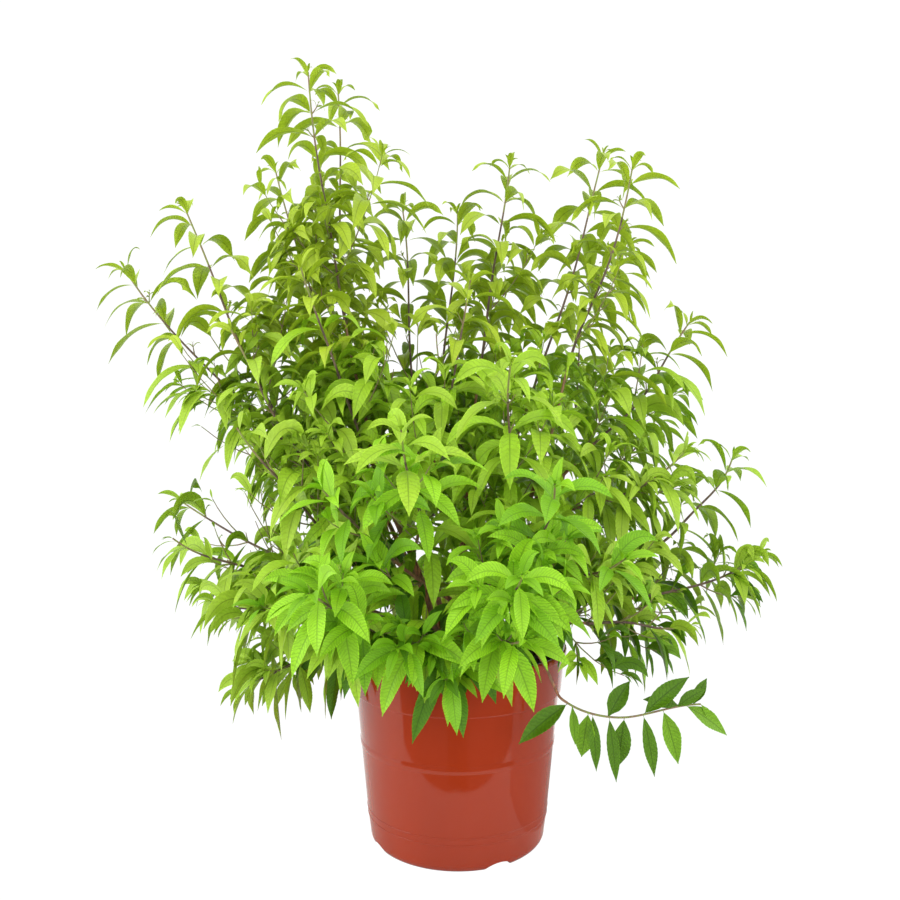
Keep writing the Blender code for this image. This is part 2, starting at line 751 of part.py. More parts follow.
def hang_leaves(garden, shoot):
    """The blades of the drooping branch, each placed as it hangs."""
    blades = []
    for share, way, length, shape in DROOPING_LEAVES:
        heading, face = Vector(way).normalized(), Vector(DROOPING_FACE)
        face = (face - face.dot(heading) * heading).normalized()
        blade = Blade(shoot.place(share), heading, face, length, shape, DROOPING_DROOP)
        if garden.keeps(shoot.name, blade.probes()):
            blades.append(blade)
    return blades


def grow_twig(garden, shoot, place, axis, turn, rule):
    """A side twig with a whorl at its end. It has no blades where it leaves its space."""
    opening = math.radians(TWIG_OPEN_DEG)
    heading = leaf_blade(place, axis, turn, opening, TWIG_LENGTH).headings[0]
    end = place + TWIG_LENGTH * rule.uniform(*TWIG_SPREAD) * (heading + TWIG_LIFT * UP)
    twig = Limb(f"{shoot.name}_twig", [0.0, 1.0], [place, end], TWIG_RADIUS, TWIG_TIP_RADIUS)
    lengths = [LEAF_LENGTH * TWIG_LEAF_SHARE * rule.uniform(*TWIG_LEAF_SPREAD) for _ in range(WHORL)]
    if not garden.keeps(shoot.name, [place.lerp(end, 0.5), end]):
        return twig, []
    ahead = twig.heading(1.0)
    return twig, whorl(
        garden, shoot.name, end - ROOT_SUNK * ahead, ahead, turn, WHORL,
        math.radians(TWIG_LEAF_OPEN_DEG), lengths,
    )


def make_limb(limb, parts, cutters, material):
    body = as_mesh(limb_object(limb, None, parts))
    cut_clear(body, limb, cutters)
    apply_modifiers(body)
    body.data.materials.append(material)
    shade_round(body)


def make_mass(garden, shoot, section, parts, cutters, material):
    """One solid: the shoot with its twigs and blades joined to it by a Boolean union."""
    rule = random.Random(shoot.name)
    if shoot.name == "foliage_drooping":
        twigs, blades = [], hang_leaves(garden, shoot)
    else:
        twigs, blades = grow_mass(garden, shoot, rule)
    body = as_mesh(limb_object(shoot, section, parts))
    cut_clear(body, shoot, cutters)
    pieces = new_collection(f"{shoot.name} pieces")
    for twig in twigs:
        as_mesh(limb_object(twig, section, pieces))
    for index, blade in enumerate(blades):
        add_object(f"blade_{index}", blade_mesh("blade", blade), pieces)
    union = body.modifiers.new("join", "BOOLEAN")
    union.operation = "UNION"
    union.operand_type = "COLLECTION"
    union.collection = pieces
    union.solver = "MANIFOLD"
    apply_modifiers(body)
    for piece in list(pieces.objects):
        bpy.data.objects.remove(piece)
    bpy.data.collections.remove(pieces)
    body.data.materials.clear()
    body.data.materials.append(material)
    return len(blades)


def main():
    clear_scene()
    parts = new_collection("potted lemon verbena")
    cutters = new_collection("cutters")
    wood, leaf = new_material(*WOOD_FINISH), new_material(*LEAF_FINISH)
    make_pot_and_soil(parts, cutters, new_material(*POT_FINISH), new_material(*SOIL_FINISH))

    garden = Garden()
    for name, (root, tip, radius) in STEMS.items():
        if isinstance(root[0], str):
            parent, share = root
            garden.limbs[name] = forked_limb(
                name, garden.limbs[parent], share, tip, radius, STEM_TIP_RADIUS, STEM_LIFT,
                BOUGH_KNOTS,
            )
        else:
            garden.limbs[name] = soil_stem(name, root, tip, radius)
    garden.limbs["bough_drooping"] = routed_limb(
        "bough_drooping", DROOPING_ROUTE, DROOPING_RADIUS, DROOPING_TIP_RADIUS, STEM_KNOTS
    )
    for name, (parent, share, tip, lift) in SHOOTS.items():
        garden.shoots[name] = forked_limb(
            name, garden.limbs[parent], share, tip, SHOOT_RADIUS, SHOOT_TIP_RADIUS, lift,
            SHOOT_KNOTS,
        )

    for limb in garden.limbs.values():
        make_limb(limb, parts, cutters, wood)
    section = three_sided_section(cutters)
    leaves = 0
    for shoot in garden.shoots.values():
        leaves += make_mass(garden, shoot, section, parts, cutters, leaf)
    print(f"{len(garden.shoots)} masses hold {leaves} leaves")


main()
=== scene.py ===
# The looks of a potted lemon verbena: pot, compost, bark, twigs and leaves, on plain white.
# Metres, +Z up, -Y towards the camera. Shoots and leaves follow the same rule as the solids,
# carried to finer twigs within the same reach.

import math
import random

import bmesh
import bpy
import numpy as np
from mathutils import Matrix, Vector


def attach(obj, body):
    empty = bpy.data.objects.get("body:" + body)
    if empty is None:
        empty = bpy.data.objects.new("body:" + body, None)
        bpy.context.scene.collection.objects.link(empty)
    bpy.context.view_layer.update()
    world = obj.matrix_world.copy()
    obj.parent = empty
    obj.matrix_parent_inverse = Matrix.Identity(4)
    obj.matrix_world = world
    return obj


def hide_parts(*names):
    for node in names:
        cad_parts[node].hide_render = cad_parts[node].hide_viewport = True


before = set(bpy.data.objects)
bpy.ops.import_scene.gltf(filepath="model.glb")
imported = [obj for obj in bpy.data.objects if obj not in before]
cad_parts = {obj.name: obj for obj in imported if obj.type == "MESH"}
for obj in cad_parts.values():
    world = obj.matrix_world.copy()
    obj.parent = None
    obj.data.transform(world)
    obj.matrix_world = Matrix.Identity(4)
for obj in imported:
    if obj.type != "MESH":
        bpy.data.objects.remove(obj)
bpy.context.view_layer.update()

# Camera: where the photograph was taken from.
PICTURE_WIDTH_PX = 900
FOCAL_PX = 933.5
HORIZON_ROW_PX = 409
POT_AXIS_COLUMN_PX = 457.4
CAMERA_DISTANCE = 0.90
CAMERA_HEIGHT = 0.408
SENSOR_MM = 36.0

# Pot, as in the solids, with finer mouldings.
POT_HEIGHT = 0.182
POT_WALL = 0.0018
POT_BASE_RADIUS = 0.0828
POT_TAPER = 0.100
POT_CORNER = 0.008
COLLAR_FOOT = 0.142
COLLAR_STEP = 0.0022
COLLAR_ROUND = 0.0010
RIM_BEAD = 0.0014
RIM_DEPTH = 0.006
BEAD_ROUND = 0.0015
LOW_RINGS = (0.0326, 0.0262)
RING_WIDTH = 0.0013
RING_HEIGHT = 0.0004
MIDDLE_BAND = (0.0912, 0.0978)
BAND_HEIGHT = 0.0006
BAND_SLOPE = 0.0012
POT_STEPS = 168
CORNER_STEPS = 8
ROUND_STEPS = 4
PLAIN_WALL = 0.0008

ARCH_COUNT = 4
ARCH_FIRST_DEG = -63.0
ARCH_HALF_WIDTH = 0.0135
ARCH_HEIGHT = 0.0068
ARCH_INNER_RADIUS = 0.058
ARCH_OVERRUN = 0.012
ARCH_SIDES = 32
DRAIN_RADIUS = 0.0042
DRAIN_INSET = 0.014
DRAIN_DEPTH = 0.012
DRAIN_SIDES = 24
POT_SHARP_DEG, SOIL_SHARP_DEG = 34.0, 40.0

SOIL_TOP = 0.165
SOIL_LUMPS = 0.0022
SOIL_RINGS = 44
SOIL_STEPS = 96
CRUMBS = 900
CRUMB_SIZE = (0.0010, 0.0032)
CRUMB_MARGIN = 0.004
CLEAR = 0.0003
OVERRUN = 0.004
UP = Vector((0.0, 0.0, 1.0))

# Wood.
STEM_TIP_RADIUS = 0.0019
SHOOT_RADIUS = 0.0017
SHOOT_TIP_RADIUS = 0.0008
TWIG_RADIUS = 0.0008
TWIG_TIP_RADIUS = 0.0004
FLARE = 0.45
FLARE_HEIGHT = 0.012
BEND = 0.34
STEM_LIFT = 0.25
LEAST_FORK_DEG = 34.0
MOST_FORK_DEG = 78.0
STEM_RINGS = 90
STEM_SIDES = 20
SHOOT_RINGS = 26
SHOOT_SIDES = 7
TWIG_RINGS = 6
TWIG_SIDES = 5
BARK_RIDGES = 5
BARK_RELIEF = 0.10
SHOOT_WANDER = 0.0016
OLD_WOOD_SHARE = 0.34
GREEN_SHARE = 0.80

# Leaves: narrow and strongly arched high in the crown, broader and flatter low at the front.
# A full-grown leaf's length, half width over length, droop, opening, puff between veins, and how
# much larger each whorl is than the one before it, counted from the tip.
HABIT_HIGH = (0.067, 0.115, 2.00, 58.0, 0.010, 0.30)
HABIT_INSIDE = (0.067, 0.122, 2.00, 66.0, 0.014, 0.28)
HABIT_FRONT = (0.058, 0.142, 1.20, 78.0, 0.016, 0.34)
HABIT_HANGING = (0.062, 0.132, 2.20, 62.0, 0.014, 0.28)
OLD_LEAF_SAG = 0.06
MOST_SAG = 1.20
HIGH_FROM, HIGH_FULL = 0.30, 0.46
FRONT_LINE, FRONT_TOP = -0.10, 0.37
HANGING_FROM, HANGING_TOP = 0.10, (0.22, 0.30)
LEAF_DROOP_POWER = 1.5
LEAF_CURL = 0.20
LEAF_FACES_UP = 0.45
LEAF_FOLD = 0.34
LEAF_TOOTH = 0.022
LEAF_BEND_STEPS = 24
VEIN_AHEAD = 0.24
VEIN_WAVER = 1.4
# Painted shade: how dark the midrib is made, for the shadow in its fold.
MIDRIB_PAINTED_SHADE = 0.62
PETIOLE_SHARE = 0.05
STALK_WIDTH = 0.035
LEAF_TAPER = 1.2
LEAF_RIPPLE = 0.10
LEAF_TRIES = (1.0, 0.82, 0.64)
WHORL = 3
WHORL_SPACING = (0.0275, 0.0275, 0.0225)
FIRST_SPACING = 0.005
SPACING_GROWTH = 0.008
SPACING_SHARE = (1.0, 0.85)
LEAFY_SHARE = (0.98, 0.90)
BARE_FOOT = 0.003
YOUNGEST_LEAF_SHARE = 0.18
YOUNGEST_DROOP_SHARE = 0.40
YOUNGEST_OPEN_DEG = 22.0
OPEN_GROWTH_DEG = 13.0
SHARED_SPACE = 0.030

# Side twigs, by order: where they start, how often they are left out or short, and their reach.
# Rows of three are for low in the crown, its middle, and high up.
LOW_CROWN, HIGH_CROWN = 0.26, 0.42
FIRST_TUFT = 3
FIRST_AXIL = ((3, 4, 99), (4, 5, 99), (8, 6, 99))
BARE_AXILS = ((0.26, 0.56), (0.46, 0.66), (0.56, 0.70))
TUFTS = (0.20, 0.16)
TUFT_REACH = 0.012
TUFT_SIZE = 0.34
TWIG_REACH = ((0.060, 0.150), (0.030, 0.060))
TWIG_BACK_SHARE = 0.62
TWIG_RISE = 0.35
TWIG_OPENING_DEG = (34.0, 50.0)
TWIG_LEAF_SHARE = (0.96, 0.84)
LIMB_MARGIN = 0.0012
POT_MARGIN = 0.0015

# Gaps where the photograph shows sky or stems, as seen from the camera and measured on the
# plane through the pot's axis: middle (x, z), half width, half height, share of leaves left
# out, and how far back from the front of the crown it reaches.
SKY = (
    ((-0.246, 0.466), (0.040, 0.050), 0.60, 1.0),
    ((-0.200, 0.595), (0.045, 0.040), 0.45, 1.0),
    ((-0.137, 0.629), (0.022, 0.022), 0.50, 1.0),
    ((-0.227, 0.282), (0.043, 0.045), 0.70, 1.0),
    ((-0.246, 0.217), (0.024, 0.024), 0.25, 1.0),
    ((-0.290, 0.304), (0.022, 0.022), 0.35, 1.0),
    ((-0.234, 0.368), (0.036, 0.038), 0.55, 1.0),
    ((-0.203, 0.310), (0.032, 0.060), 0.70, 1.0),
    ((-0.159, 0.304), (0.025, 0.045), 0.60, 1.0),
    ((-0.042, 0.452), (0.034, 0.040), 0.80, 1.0),
    ((0.176, 0.446), (0.034, 0.030), 0.25, 1.0),
    ((-0.050, 0.272), (0.043, 0.034), 0.50, 1.0),
    ((-0.031, 0.222), (0.034, 0.026), 0.50, -0.06),
    ((0.144, 0.344), (0.024, 0.024), 0.30, 1.0),
    ((0.231, 0.385), (0.024, 0.030), 0.30, 1.0),
    ((0.205, 0.205), (0.045, 0.042), 0.45, 1.0),
    ((0.150, 0.190), (0.050, 0.032), 0.65, 1.0),
)

# The stems. Each has its foot on the soil, or its parent and how far along that it forks,
# then its tip and the radius of its foot.
STEMS = {
    "stem_left_tall": ((-0.018, 0.004), (-0.078, 0.012, 0.350), 0.0038),
    "stem_left": ((-0.032, -0.004), (-0.112, -0.004, 0.285), 0.0035),
    "stem_centre": ((0.003, 0.007), (0.012, 0.044, 0.350), 0.0038),
    "stem_right_tall": ((0.021, 0.000), (0.078, 0.004, 0.345), 0.0038),
    "stem_front": ((-0.006, -0.024), (-0.022, -0.082, 0.262), 0.0032),
    "stem_back": ((0.004, 0.032), (0.006, 0.112, 0.290), 0.0035),
    "stem_right_front": ((0.028, -0.020), (0.074, -0.074, 0.236), 0.0032),
    "bough_left_back": (("stem_left_tall", 0.30), (-0.088, 0.072, 0.330), 0.0028),
    "bough_left_low": (("stem_left", 0.26), (-0.116, 0.030, 0.222), 0.0027),
    "bough_left_front": (("stem_left", 0.20), (-0.086, -0.078, 0.232), 0.0027),
    "bough_right": (("stem_right_tall", 0.24), (0.134, 0.000, 0.240), 0.0028),
    "bough_front_right": (("stem_front", 0.30), (0.028, -0.104, 0.232), 0.0025),
    "bough_back_left": (("stem_back", 0.30), (-0.080, 0.116, 0.262), 0.0027),
    "bough_back_right": (("stem_back", 0.36), (0.086, 0.112, 0.270), 0.0027),
}

# The branch that hangs out over the rim at the right front, by the places it passes through.
DROOPING_ROUTE = (
    (0.047, -0.042, SOIL_TOP + CLEAR),
    (0.048, -0.043, SOIL_TOP + 0.008),
    (0.056, -0.052, 0.188),
    (0.067, -0.069, 0.194),
    (0.077, -0.084, 0.181),
    (0.0835, -0.0895, 0.167),
    (0.088, -0.0918, 0.1585),
    (0.094, -0.0925, 0.154),
)
DROOPING_RADIUS = 0.0014
DROOPING_TIP_RADIUS = 0.0011

# The foliage masses, each named foliage and the word here: parent, share of its length, tip of
# the shoot, and lift of its tip.
SHOOTS = {
    "left_spire": ("stem_left_tall", 1.00, (-0.147, 0.020, 0.740), 0.45),
    "left_inner": ("stem_left_tall", 0.72, (-0.143, -0.060, 0.540), 0.45),
    "left_spire_back": ("bough_left_back", 1.00, (-0.123, 0.066, 0.737), 0.45),
    "left_back_high": ("bough_left_back", 0.74, (-0.195, 0.104, 0.665), 0.40),
    "left_high": ("stem_left", 1.00, (-0.262, 0.000, 0.600), 0.35),
    "left_far": ("stem_left", 0.72, (-0.328, 0.020, 0.546), 0.30),
    "left_mid": ("stem_left", 0.86, (-0.206, -0.052, 0.480), 0.30),
    "left_low": ("bough_left_low", 1.00, (-0.271, -0.012, 0.285), 0.40),
    "left_low_back": ("bough_left_low", 0.78, (-0.292, 0.084, 0.312), 0.20),
    "left_skirt": ("bough_left_front", 1.00, (-0.213, -0.096, 0.242), 0.30),
    "left_hem": ("bough_left_front", 0.62, (-0.201, -0.046, 0.151), 0.00),
    "front_left": ("bough_left_front", 0.80, (-0.112, -0.212, 0.272), 0.10),
    "left_front_mid": ("stem_front", 0.84, (-0.112, -0.150, 0.346), 0.20),
    "left_front_high": ("stem_left", 0.60, (-0.188, -0.108, 0.392), 0.30),
    "front_high": ("stem_front", 1.00, (-0.044, -0.196, 0.392), 0.30),
    "front_hem": ("stem_front", 0.36, (-0.048, -0.172, 0.222), 0.05),
    "front_upper": ("stem_right_tall", 0.58, (0.042, -0.146, 0.446), 0.40),
    "centre": ("stem_left_tall", 0.52, (0.012, -0.030, 0.528), 0.50),
    "front_right": ("bough_front_right", 1.00, (0.045, -0.226, 0.288), 0.10),
    "front_right_hem": ("bough_front_right", 0.52, (0.050, -0.204, 0.236), 0.00),
    "front_right_high": ("stem_right_front", 0.66, (0.074, -0.178, 0.350), 0.30),
    "right_front": ("stem_right_front", 1.00, (0.134, -0.150, 0.288), 0.15),
    "right_skirt": ("stem_right_front", 0.78, (0.206, -0.074, 0.217), 0.10),
    "right_low": ("bough_right", 0.80, (0.286, -0.022, 0.272), 0.60),
    "right_far": ("bough_right", 1.00, (0.267, 0.004, 0.362), 0.80),
    "right_mid": ("stem_right_tall", 0.70, (0.208, -0.052, 0.371), 0.70),
    "right_high": ("stem_right_tall", 0.84, (0.230, 0.024, 0.494), 0.40),
    "right_spire": ("stem_right_tall", 1.00, (0.169, 0.000, 0.642), 0.40),
    "right_spire_back": ("stem_centre", 0.66, (0.151, 0.062, 0.671), 0.40),
    "centre_spire": ("stem_centre", 1.00, (0.054, 0.052, 0.657), 0.45),
    "centre_back": ("stem_centre", 0.80, (0.001, 0.118, 0.624), 0.45),
    "left_centre_back": ("stem_centre", 0.50, (-0.059, 0.120, 0.627), 0.45),
    "back_left_high": ("bough_back_left", 1.00, (-0.172, 0.214, 0.500), 0.35),
    "back_left_far": ("bough_back_left", 0.78, (-0.246, 0.160, 0.398), 0.25),
    "back_left_low": ("bough_back_left", 0.60, (-0.258, 0.150, 0.238), 0.25),
    "back_left": ("bough_back_left", 0.88, (-0.110, 0.262, 0.348), 0.20),
    "back_high": ("stem_back", 1.00, (-0.024, 0.244, 0.500), 0.35),
    "back": ("stem_back", 0.86, (0.044, 0.282, 0.372), 0.20),
    "back_hem": ("stem_back", 0.44, (-0.034, 0.238, 0.202), 0.00),
    "back_right_high": ("bough_back_right", 1.00, (0.150, 0.204, 0.520), 0.35),
    "back_right_far": ("bough_back_right", 0.80, (0.228, 0.166, 0.396), 0.25),
    "back_right_low": ("bough_back_right", 0.60, (0.237, 0.150, 0.202), 0.15),
    "drooping": ("bough_drooping", 1.00, (0.212, -0.084, 0.150), 0.15),
}

# Leaves of the drooping branch: share of the shoot, heading, length, half width over length.
DROOPING_LEAVES = (
    (0.01, (-0.85, -0.28, -0.46), 0.055, 0.15),
    (0.04, (0.08, -0.20, -1.00), 0.033, 0.13),
    (0.16, (-0.14, 0.10, -1.00), 0.042, 0.20),
    (0.19, (0.08, -0.10, -1.00), 0.050, 0.10),
    (0.31, (0.50, 0.05, 0.90), 0.036, 0.22),
    (0.32, (0.12, -0.15, -1.00), 0.056, 0.10),
    (0.45, (-0.12, 0.10, -1.00), 0.048, 0.18),
    (0.60, (0.22, -0.05, -1.00), 0.056, 0.11),
    (0.60, (0.70, -0.05, 0.72), 0.052, 0.15),
    (0.73, (0.34, -0.05, -1.00), 0.050, 0.16),
    (0.82, (0.75, -0.10, 0.62), 0.030, 0.18),
    (0.84, (-0.95, 0.05, 0.30), 0.032, 0.18),
    (0.88, (0.86, 0.05, -0.48), 0.048, 0.15),
    (0.94, (0.45, 0.10, 0.88), 0.026, 0.18),
    (1.00, (0.60, 0.30, -0.75), 0.034, 0.12),
)
DROOPING_FACE = (0.0, -0.8, 0.6)
DROOPING_DROOP = 0.25
DROOPING_PUFF = 0.010

# Base colours, linear.
POT_COLOUR = (0.318, 0.032, 0.008, 1.0)
SOIL_COLOUR = (0.030, 0.018, 0.012, 1.0)
WOOD_COLOUR = (0.50, 0.21, 0.105, 1.0)
# For each part of the crown a light, a half-shaded and a shaded green, then how many pairs of veins a
# leaf has and how dark they are. The darker greens are painted shade for leaves low, inside and
# under the crown, strongest in the front and hanging parts. In the high and inner parts the shaded
# greens are raised close to the light ones, painted light standing in for light through the leaves.
LEAF_GREENS = {
    "high": ((0.360, 0.500, 0.025), (0.350, 0.490, 0.022), (0.340, 0.480, 0.019), 12, 0.92),
    "outer": ((0.315, 0.495, 0.030), (0.305, 0.490, 0.027), (0.285, 0.475, 0.024), 12, 0.90),
    "inner": ((0.325, 0.535, 0.026), (0.320, 0.545, 0.023), (0.305, 0.545, 0.018), 12, 0.86),
    "front": ((0.280, 0.580, 0.014), (0.195, 0.455, 0.009), (0.090, 0.240, 0.004), 18, 0.78),
    "hanging": ((0.245, 0.495, 0.012), (0.155, 0.335, 0.008), (0.085, 0.205, 0.004), 12, 0.82),
}
LIGHT, HALF_SHADED, SHADED = range(3)
TWIG_COLOURS = {
    "shoot bark": ((0.105, 0.062, 0.048, 1.0), (0.20, 0.125, 0.085, 1.0)),
    "green shoot": ((0.24, 0.30, 0.06, 1.0), (0.26, 0.16, 0.10, 1.0)),
    "old shoot": ((0.30, 0.135, 0.070, 1.0), (0.42, 0.22, 0.12, 1.0)),
}
BROWN, GREEN, OLD_WOOD = range(3)

# Which leaves are made finely, about how many triangles one has, and how many a piece holds.
SMALL_LEAF, LARGE_LEAF = 0.024, 0.042
PLAIN_BEHIND = 0.12
LEAF_TRIANGLES = (70, 200)
PIECE_TRIANGLES = 120_000
# Which greens go where, with painted shade darker low down and inside the crown: the crown's reach
# and heights, then the borders of its parts.
CROWN_RADIUS, CROWN_FOOT, CROWN_HEIGHT = 0.22, 0.24, 0.5
HEIGHT_WEIGHT = 1.2
LOW_BACK = (0.05, 0.24)
LOW_INSIDE = (0.55, 0.27)
LOW_FRONT = (-0.13, 0.36)
HANGING_PART = (0.08, 0.23)
HIGH_PART = 0.46
OUTER_PART = 0.13


# Small tools


def unit(vectors):
    return vectors / np.linalg.norm(vectors, axis=-1, keepdims=True)


def smooth_noise(phases, points):
    """A soft value near -1 to 1 at each point, from a few sine waves."""
    total = np.zeros(points.shape[:-1])
    for index, phase in enumerate(phases):
        tilt = np.array([math.cos(phase * 5), math.sin(phase * 7), math.cos(phase * 11)])
        total += np.sin((points @ tilt) * (1.0 + 0.7 * index) + phase) / (1.0 + 0.5 * index)
    return total / 2.0


def grid_quads(rows, columns, closed):
    """Corner indices of a grid's quads, row by row, wrapped round if closed."""
    last = columns if closed else columns - 1
    row, column = np.meshgrid(np.arange(rows - 1), np.arange(last), indexing="ij")
    after = (column + 1) % columns
    corners = [row * columns + column, row * columns + after]
    corners += [(row + 1) * columns + after, (row + 1) * columns + column]
    return np.stack(corners, axis=-1).reshape(-1, 4)


class Pool:
    """Points and quads gathered for one joined mesh."""

    def __init__(self):
        self.points = []
        self.quads = []
        self.slots = []
        self.uvs = []
        self.count = 0

    def add(self, points, quads, slots, uvs):
        self.points.append(points)
        self.quads.append(quads + self.count)
        self.slots.append(slots)
        self.uvs.append(uvs[quads].reshape(-1, 2))
        self.count += len(points)

    def mesh(self, name, materials):
        points = np.concatenate(self.points).astype(np.float32)
        quads = np.concatenate(self.quads).astype(np.int32)
        mesh = bpy.data.meshes.new(name)
        mesh.vertices.add(len(points))
        mesh.vertices.foreach_set("co", points.ravel())
        mesh.loops.add(quads.size)
        mesh.loops.foreach_set("vertex_index", quads.ravel())
        mesh.polygons.add(len(quads))
        mesh.polygons.foreach_set("loop_start", np.arange(0, quads.size, 4, dtype=np.int32))
        mesh.polygons.foreach_set("use_smooth", np.ones(len(quads), bool))
        for material in materials:
            mesh.materials.append(material)
        mesh.polygons.foreach_set("material_index", np.concatenate(self.slots).astype(np.int32))
        layer = mesh.uv_layers.new(name="along")
        layer.data.foreach_set("uv", np.concatenate(self.uvs).astype(np.float32).ravel())
        mesh.update(calc_edges=True)
        mesh.validate()
        return mesh


def add_object(name, data):
    obj = bpy.data.objects.new(name, data)
    bpy.context.scene.collection.objects.link(obj)
    return obj


def built(name, build):
    """An object with the mesh that a function builds."""
    mesh = bpy.data.meshes.new(name)
    shape = bmesh.new()
    build(shape)
    shape.to_mesh(mesh)
    shape.free()
    return add_object(name, mesh)


def keep_piece(obj, nodes):
    """Lets a piece ride on the plant's one body and stand for CAD nodes."""
    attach(obj, "root")
    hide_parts(*nodes)


# Materials


class Nodes:
    """A material's node tree, and short calls to add to it."""

    def __init__(self, name, colour, roughness):
        self.material = bpy.data.materials.new(name)
        self.material.use_nodes = True
        self.material.diffuse_color = colour
        self.tree = self.material.node_tree
        self.shader = self.tree.nodes["Principled BSDF"]
        self.feed(self.shader, {"Base Color": colour, "Roughness": roughness})

    def feed(self, node, values):
        """Links each socket to an output, or sets it to a plain value."""
        for socket, value in values.items():
            if isinstance(value, bpy.types.NodeSocket):
                self.tree.links.new(value, node.inputs[socket])
            else:
                node.inputs[socket].default_value = value

    def add(self, kind, values):
        node = self.tree.nodes.new(kind)
        self.feed(node, values)
        return node

    def math(self, operation, first, second=0.0):
        node = self.add("ShaderNodeMath", {0: first, 1: second})
        node.operation = operation
        return node.outputs[0]

    def ramp(self, value, low, high):
        """Value from low to high mapped smoothly to 0 to 1."""
        node = self.add("ShaderNodeMapRange", {"Value": value, "From Min": low, "From Max": high})
        node.interpolation_type = "SMOOTHSTEP"
        return node.outputs[0]

    def noise(self, scale, detail=3.0, stretch=(1.0, 1.0, 1.0)):
        place = self.add("ShaderNodeTexCoord", {}).outputs["Object"]
        stretched = self.add("ShaderNodeMapping", {"Vector": place, "Scale": stretch}).outputs[0]
        values = {"Vector": stretched, "Scale": scale, "Detail": detail}
        return self.add("ShaderNodeTexNoise", values).outputs["Fac"]

    def uv(self):
        place = self.add("ShaderNodeTexCoord", {}).outputs["UV"]
        return self.add("ShaderNodeSeparateXYZ", {0: place}).outputs[:2]

    def mix(self, share, first, second):
        node = self.add("ShaderNodeMix", {0: share})
        node.data_type = "RGBA"
        self.feed(node, {6: first, 7: second})
        return node.outputs[2]

    def colour(self, value):
        self.feed(self.shader, {"Base Color": value})

    def bump(self, height, distance, strength=1.0):
        values = {"Height": height, "Distance": distance, "Strength": strength}
        self.feed(self.shader, {"Normal": self.add("ShaderNodeBump", values).outputs[0]})


def shade(colour, factor):
    return (*(channel * factor for channel in colour[:3]), 1.0)


def leaf_material(name, colour, veins, vein_shade):
    """A leaf: a midrib darkened as painted shade in its fold, wavering sunken veins, a paler rim, and a soft
    gloss.
    """
    made = Nodes(name, colour, 0.46)
    made.feed(made.shader, {"Specular IOR Level": 0.28})
    across, along = made.uv()
    off_middle = made.math("ABSOLUTE", made.math("SUBTRACT", across, 0.5))
    midrib = made.ramp(off_middle, 0.010, 0.055)
    waver = made.math("MULTIPLY", made.noise(420.0, 1.0), VEIN_WAVER)
    step = made.math("FRACT", made.math("ADD", made.math("MULTIPLY", along, float(veins)), waver))
    off_vein = made.math("SUBTRACT", 0.5, made.math("ABSOLUTE", made.math("SUBTRACT", step, 0.5)))
    vein = made.ramp(off_vein, 0.0, 0.30)
    cells = made.math("MULTIPLY", midrib, made.math("MAXIMUM", vein, 0.30))
    patches = made.ramp(made.noise(42.0), 0.30, 0.72)
    body = made.mix(patches, shade(colour, 0.90), shade(colour, 1.12))
    edged = made.mix(made.ramp(off_middle, 0.42, 0.50), body, shade(colour, 1.35))
    veined = made.mix(vein, shade(colour, vein_shade), edged)
    # Painted shade: the midrib is darkened for the shadow in its fold.
    made.colour(made.mix(midrib, shade(colour, MIDRIB_PAINTED_SHADE), veined))
    height = made.math("ADD", cells, made.math("MULTIPLY", made.noise(900.0, 2.0), 0.20))
    made.bump(height, 0.0003, 0.6)
    return made.material


def twig_material(name, colour, tint):
    """A thin shoot's skin, streaked lengthwise."""
    made = Nodes(name, colour, 0.55)
    streaks = made.ramp(made.noise(260.0, 4.0, (1.0, 1.0, 0.25)), 0.35, 0.65)
    made.colour(made.mix(streaks, colour, tint))
    made.bump(streaks, 0.0002, 0.6)
    return made.material


def bark_material():
    """Tan bark with darker furrows and grey patches."""
    made = Nodes("bark", WOOD_COLOUR, 0.78)
    furrows = made.ramp(made.noise(420.0, 6.0, (1.0, 1.0, 0.16)), 0.38, 0.62)
    patches = made.ramp(made.noise(60.0, 3.0), 0.42, 0.66)
    body = made.mix(furrows, shade(WOOD_COLOUR, 0.42), shade(WOOD_COLOUR, 1.15))
    made.colour(made.mix(patches, body, (0.34, 0.20, 0.12, 1.0)))
    made.bump(furrows, 0.0006, 0.9)
    return made.material


def soil_material():
    made = Nodes("compost", SOIL_COLOUR, 0.96)
    grains = made.ramp(made.noise(700.0, 6.0), 0.35, 0.70)
    made.colour(made.mix(grains, shade(SOIL_COLOUR, 0.6), (0.085, 0.052, 0.032, 1.0)))
    made.bump(grains, 0.0012)
    return made.material


def pot_material():
    """Glossy moulded plastic with faint flow streaks and fine scuffs."""
    made = Nodes("pot plastic", POT_COLOUR, 0.14)
    made.feed(made.shader, {"IOR": 1.49, "Specular IOR Level": 0.40})
    streaks = made.ramp(made.noise(14.0, 4.0, (1.0, 1.0, 0.3)), 0.30, 0.75)
    made.colour(made.mix(streaks, shade(POT_COLOUR, 0.93), shade(POT_COLOUR, 1.07)))
    scuffs = made.ramp(made.noise(120.0, 6.0, (1.0, 1.0, 2.5)), 0.40, 0.80)
    rough = made.math("ADD", made.math("MULTIPLY", scuffs, 0.08), 0.07)
    made.feed(made.shader, {"Roughness": rough})
    made.bump(made.noise(26.0, 3.0), 0.0004, 0.20)
    return made.material


# Pot and compost


def wall_radius(height):
    return POT_BASE_RADIUS + POT_TAPER * height


def arc(centre, radius, start_deg, end_deg, steps):
    """Points of (radius, height) round a centre."""
    turns = [math.radians(start_deg + (end_deg - start_deg) * i / steps) for i in range(steps + 1)]
    return [(centre[0] + radius * math.cos(t), centre[1] + radius * math.sin(t)) for t in turns]


def base_corner(inset):
    """The rounded corner between wall and underside, from the wall down to the flat."""
    centre = (POT_BASE_RADIUS - POT_CORNER, POT_CORNER)
    return arc(centre, POT_CORNER - inset, 5.0, -90.0, CORNER_STEPS)


def plain_wall(height):
    """A point on the straight wall, set close to a moulding to keep the rest of it straight."""
    return [(wall_radius(height), height)]


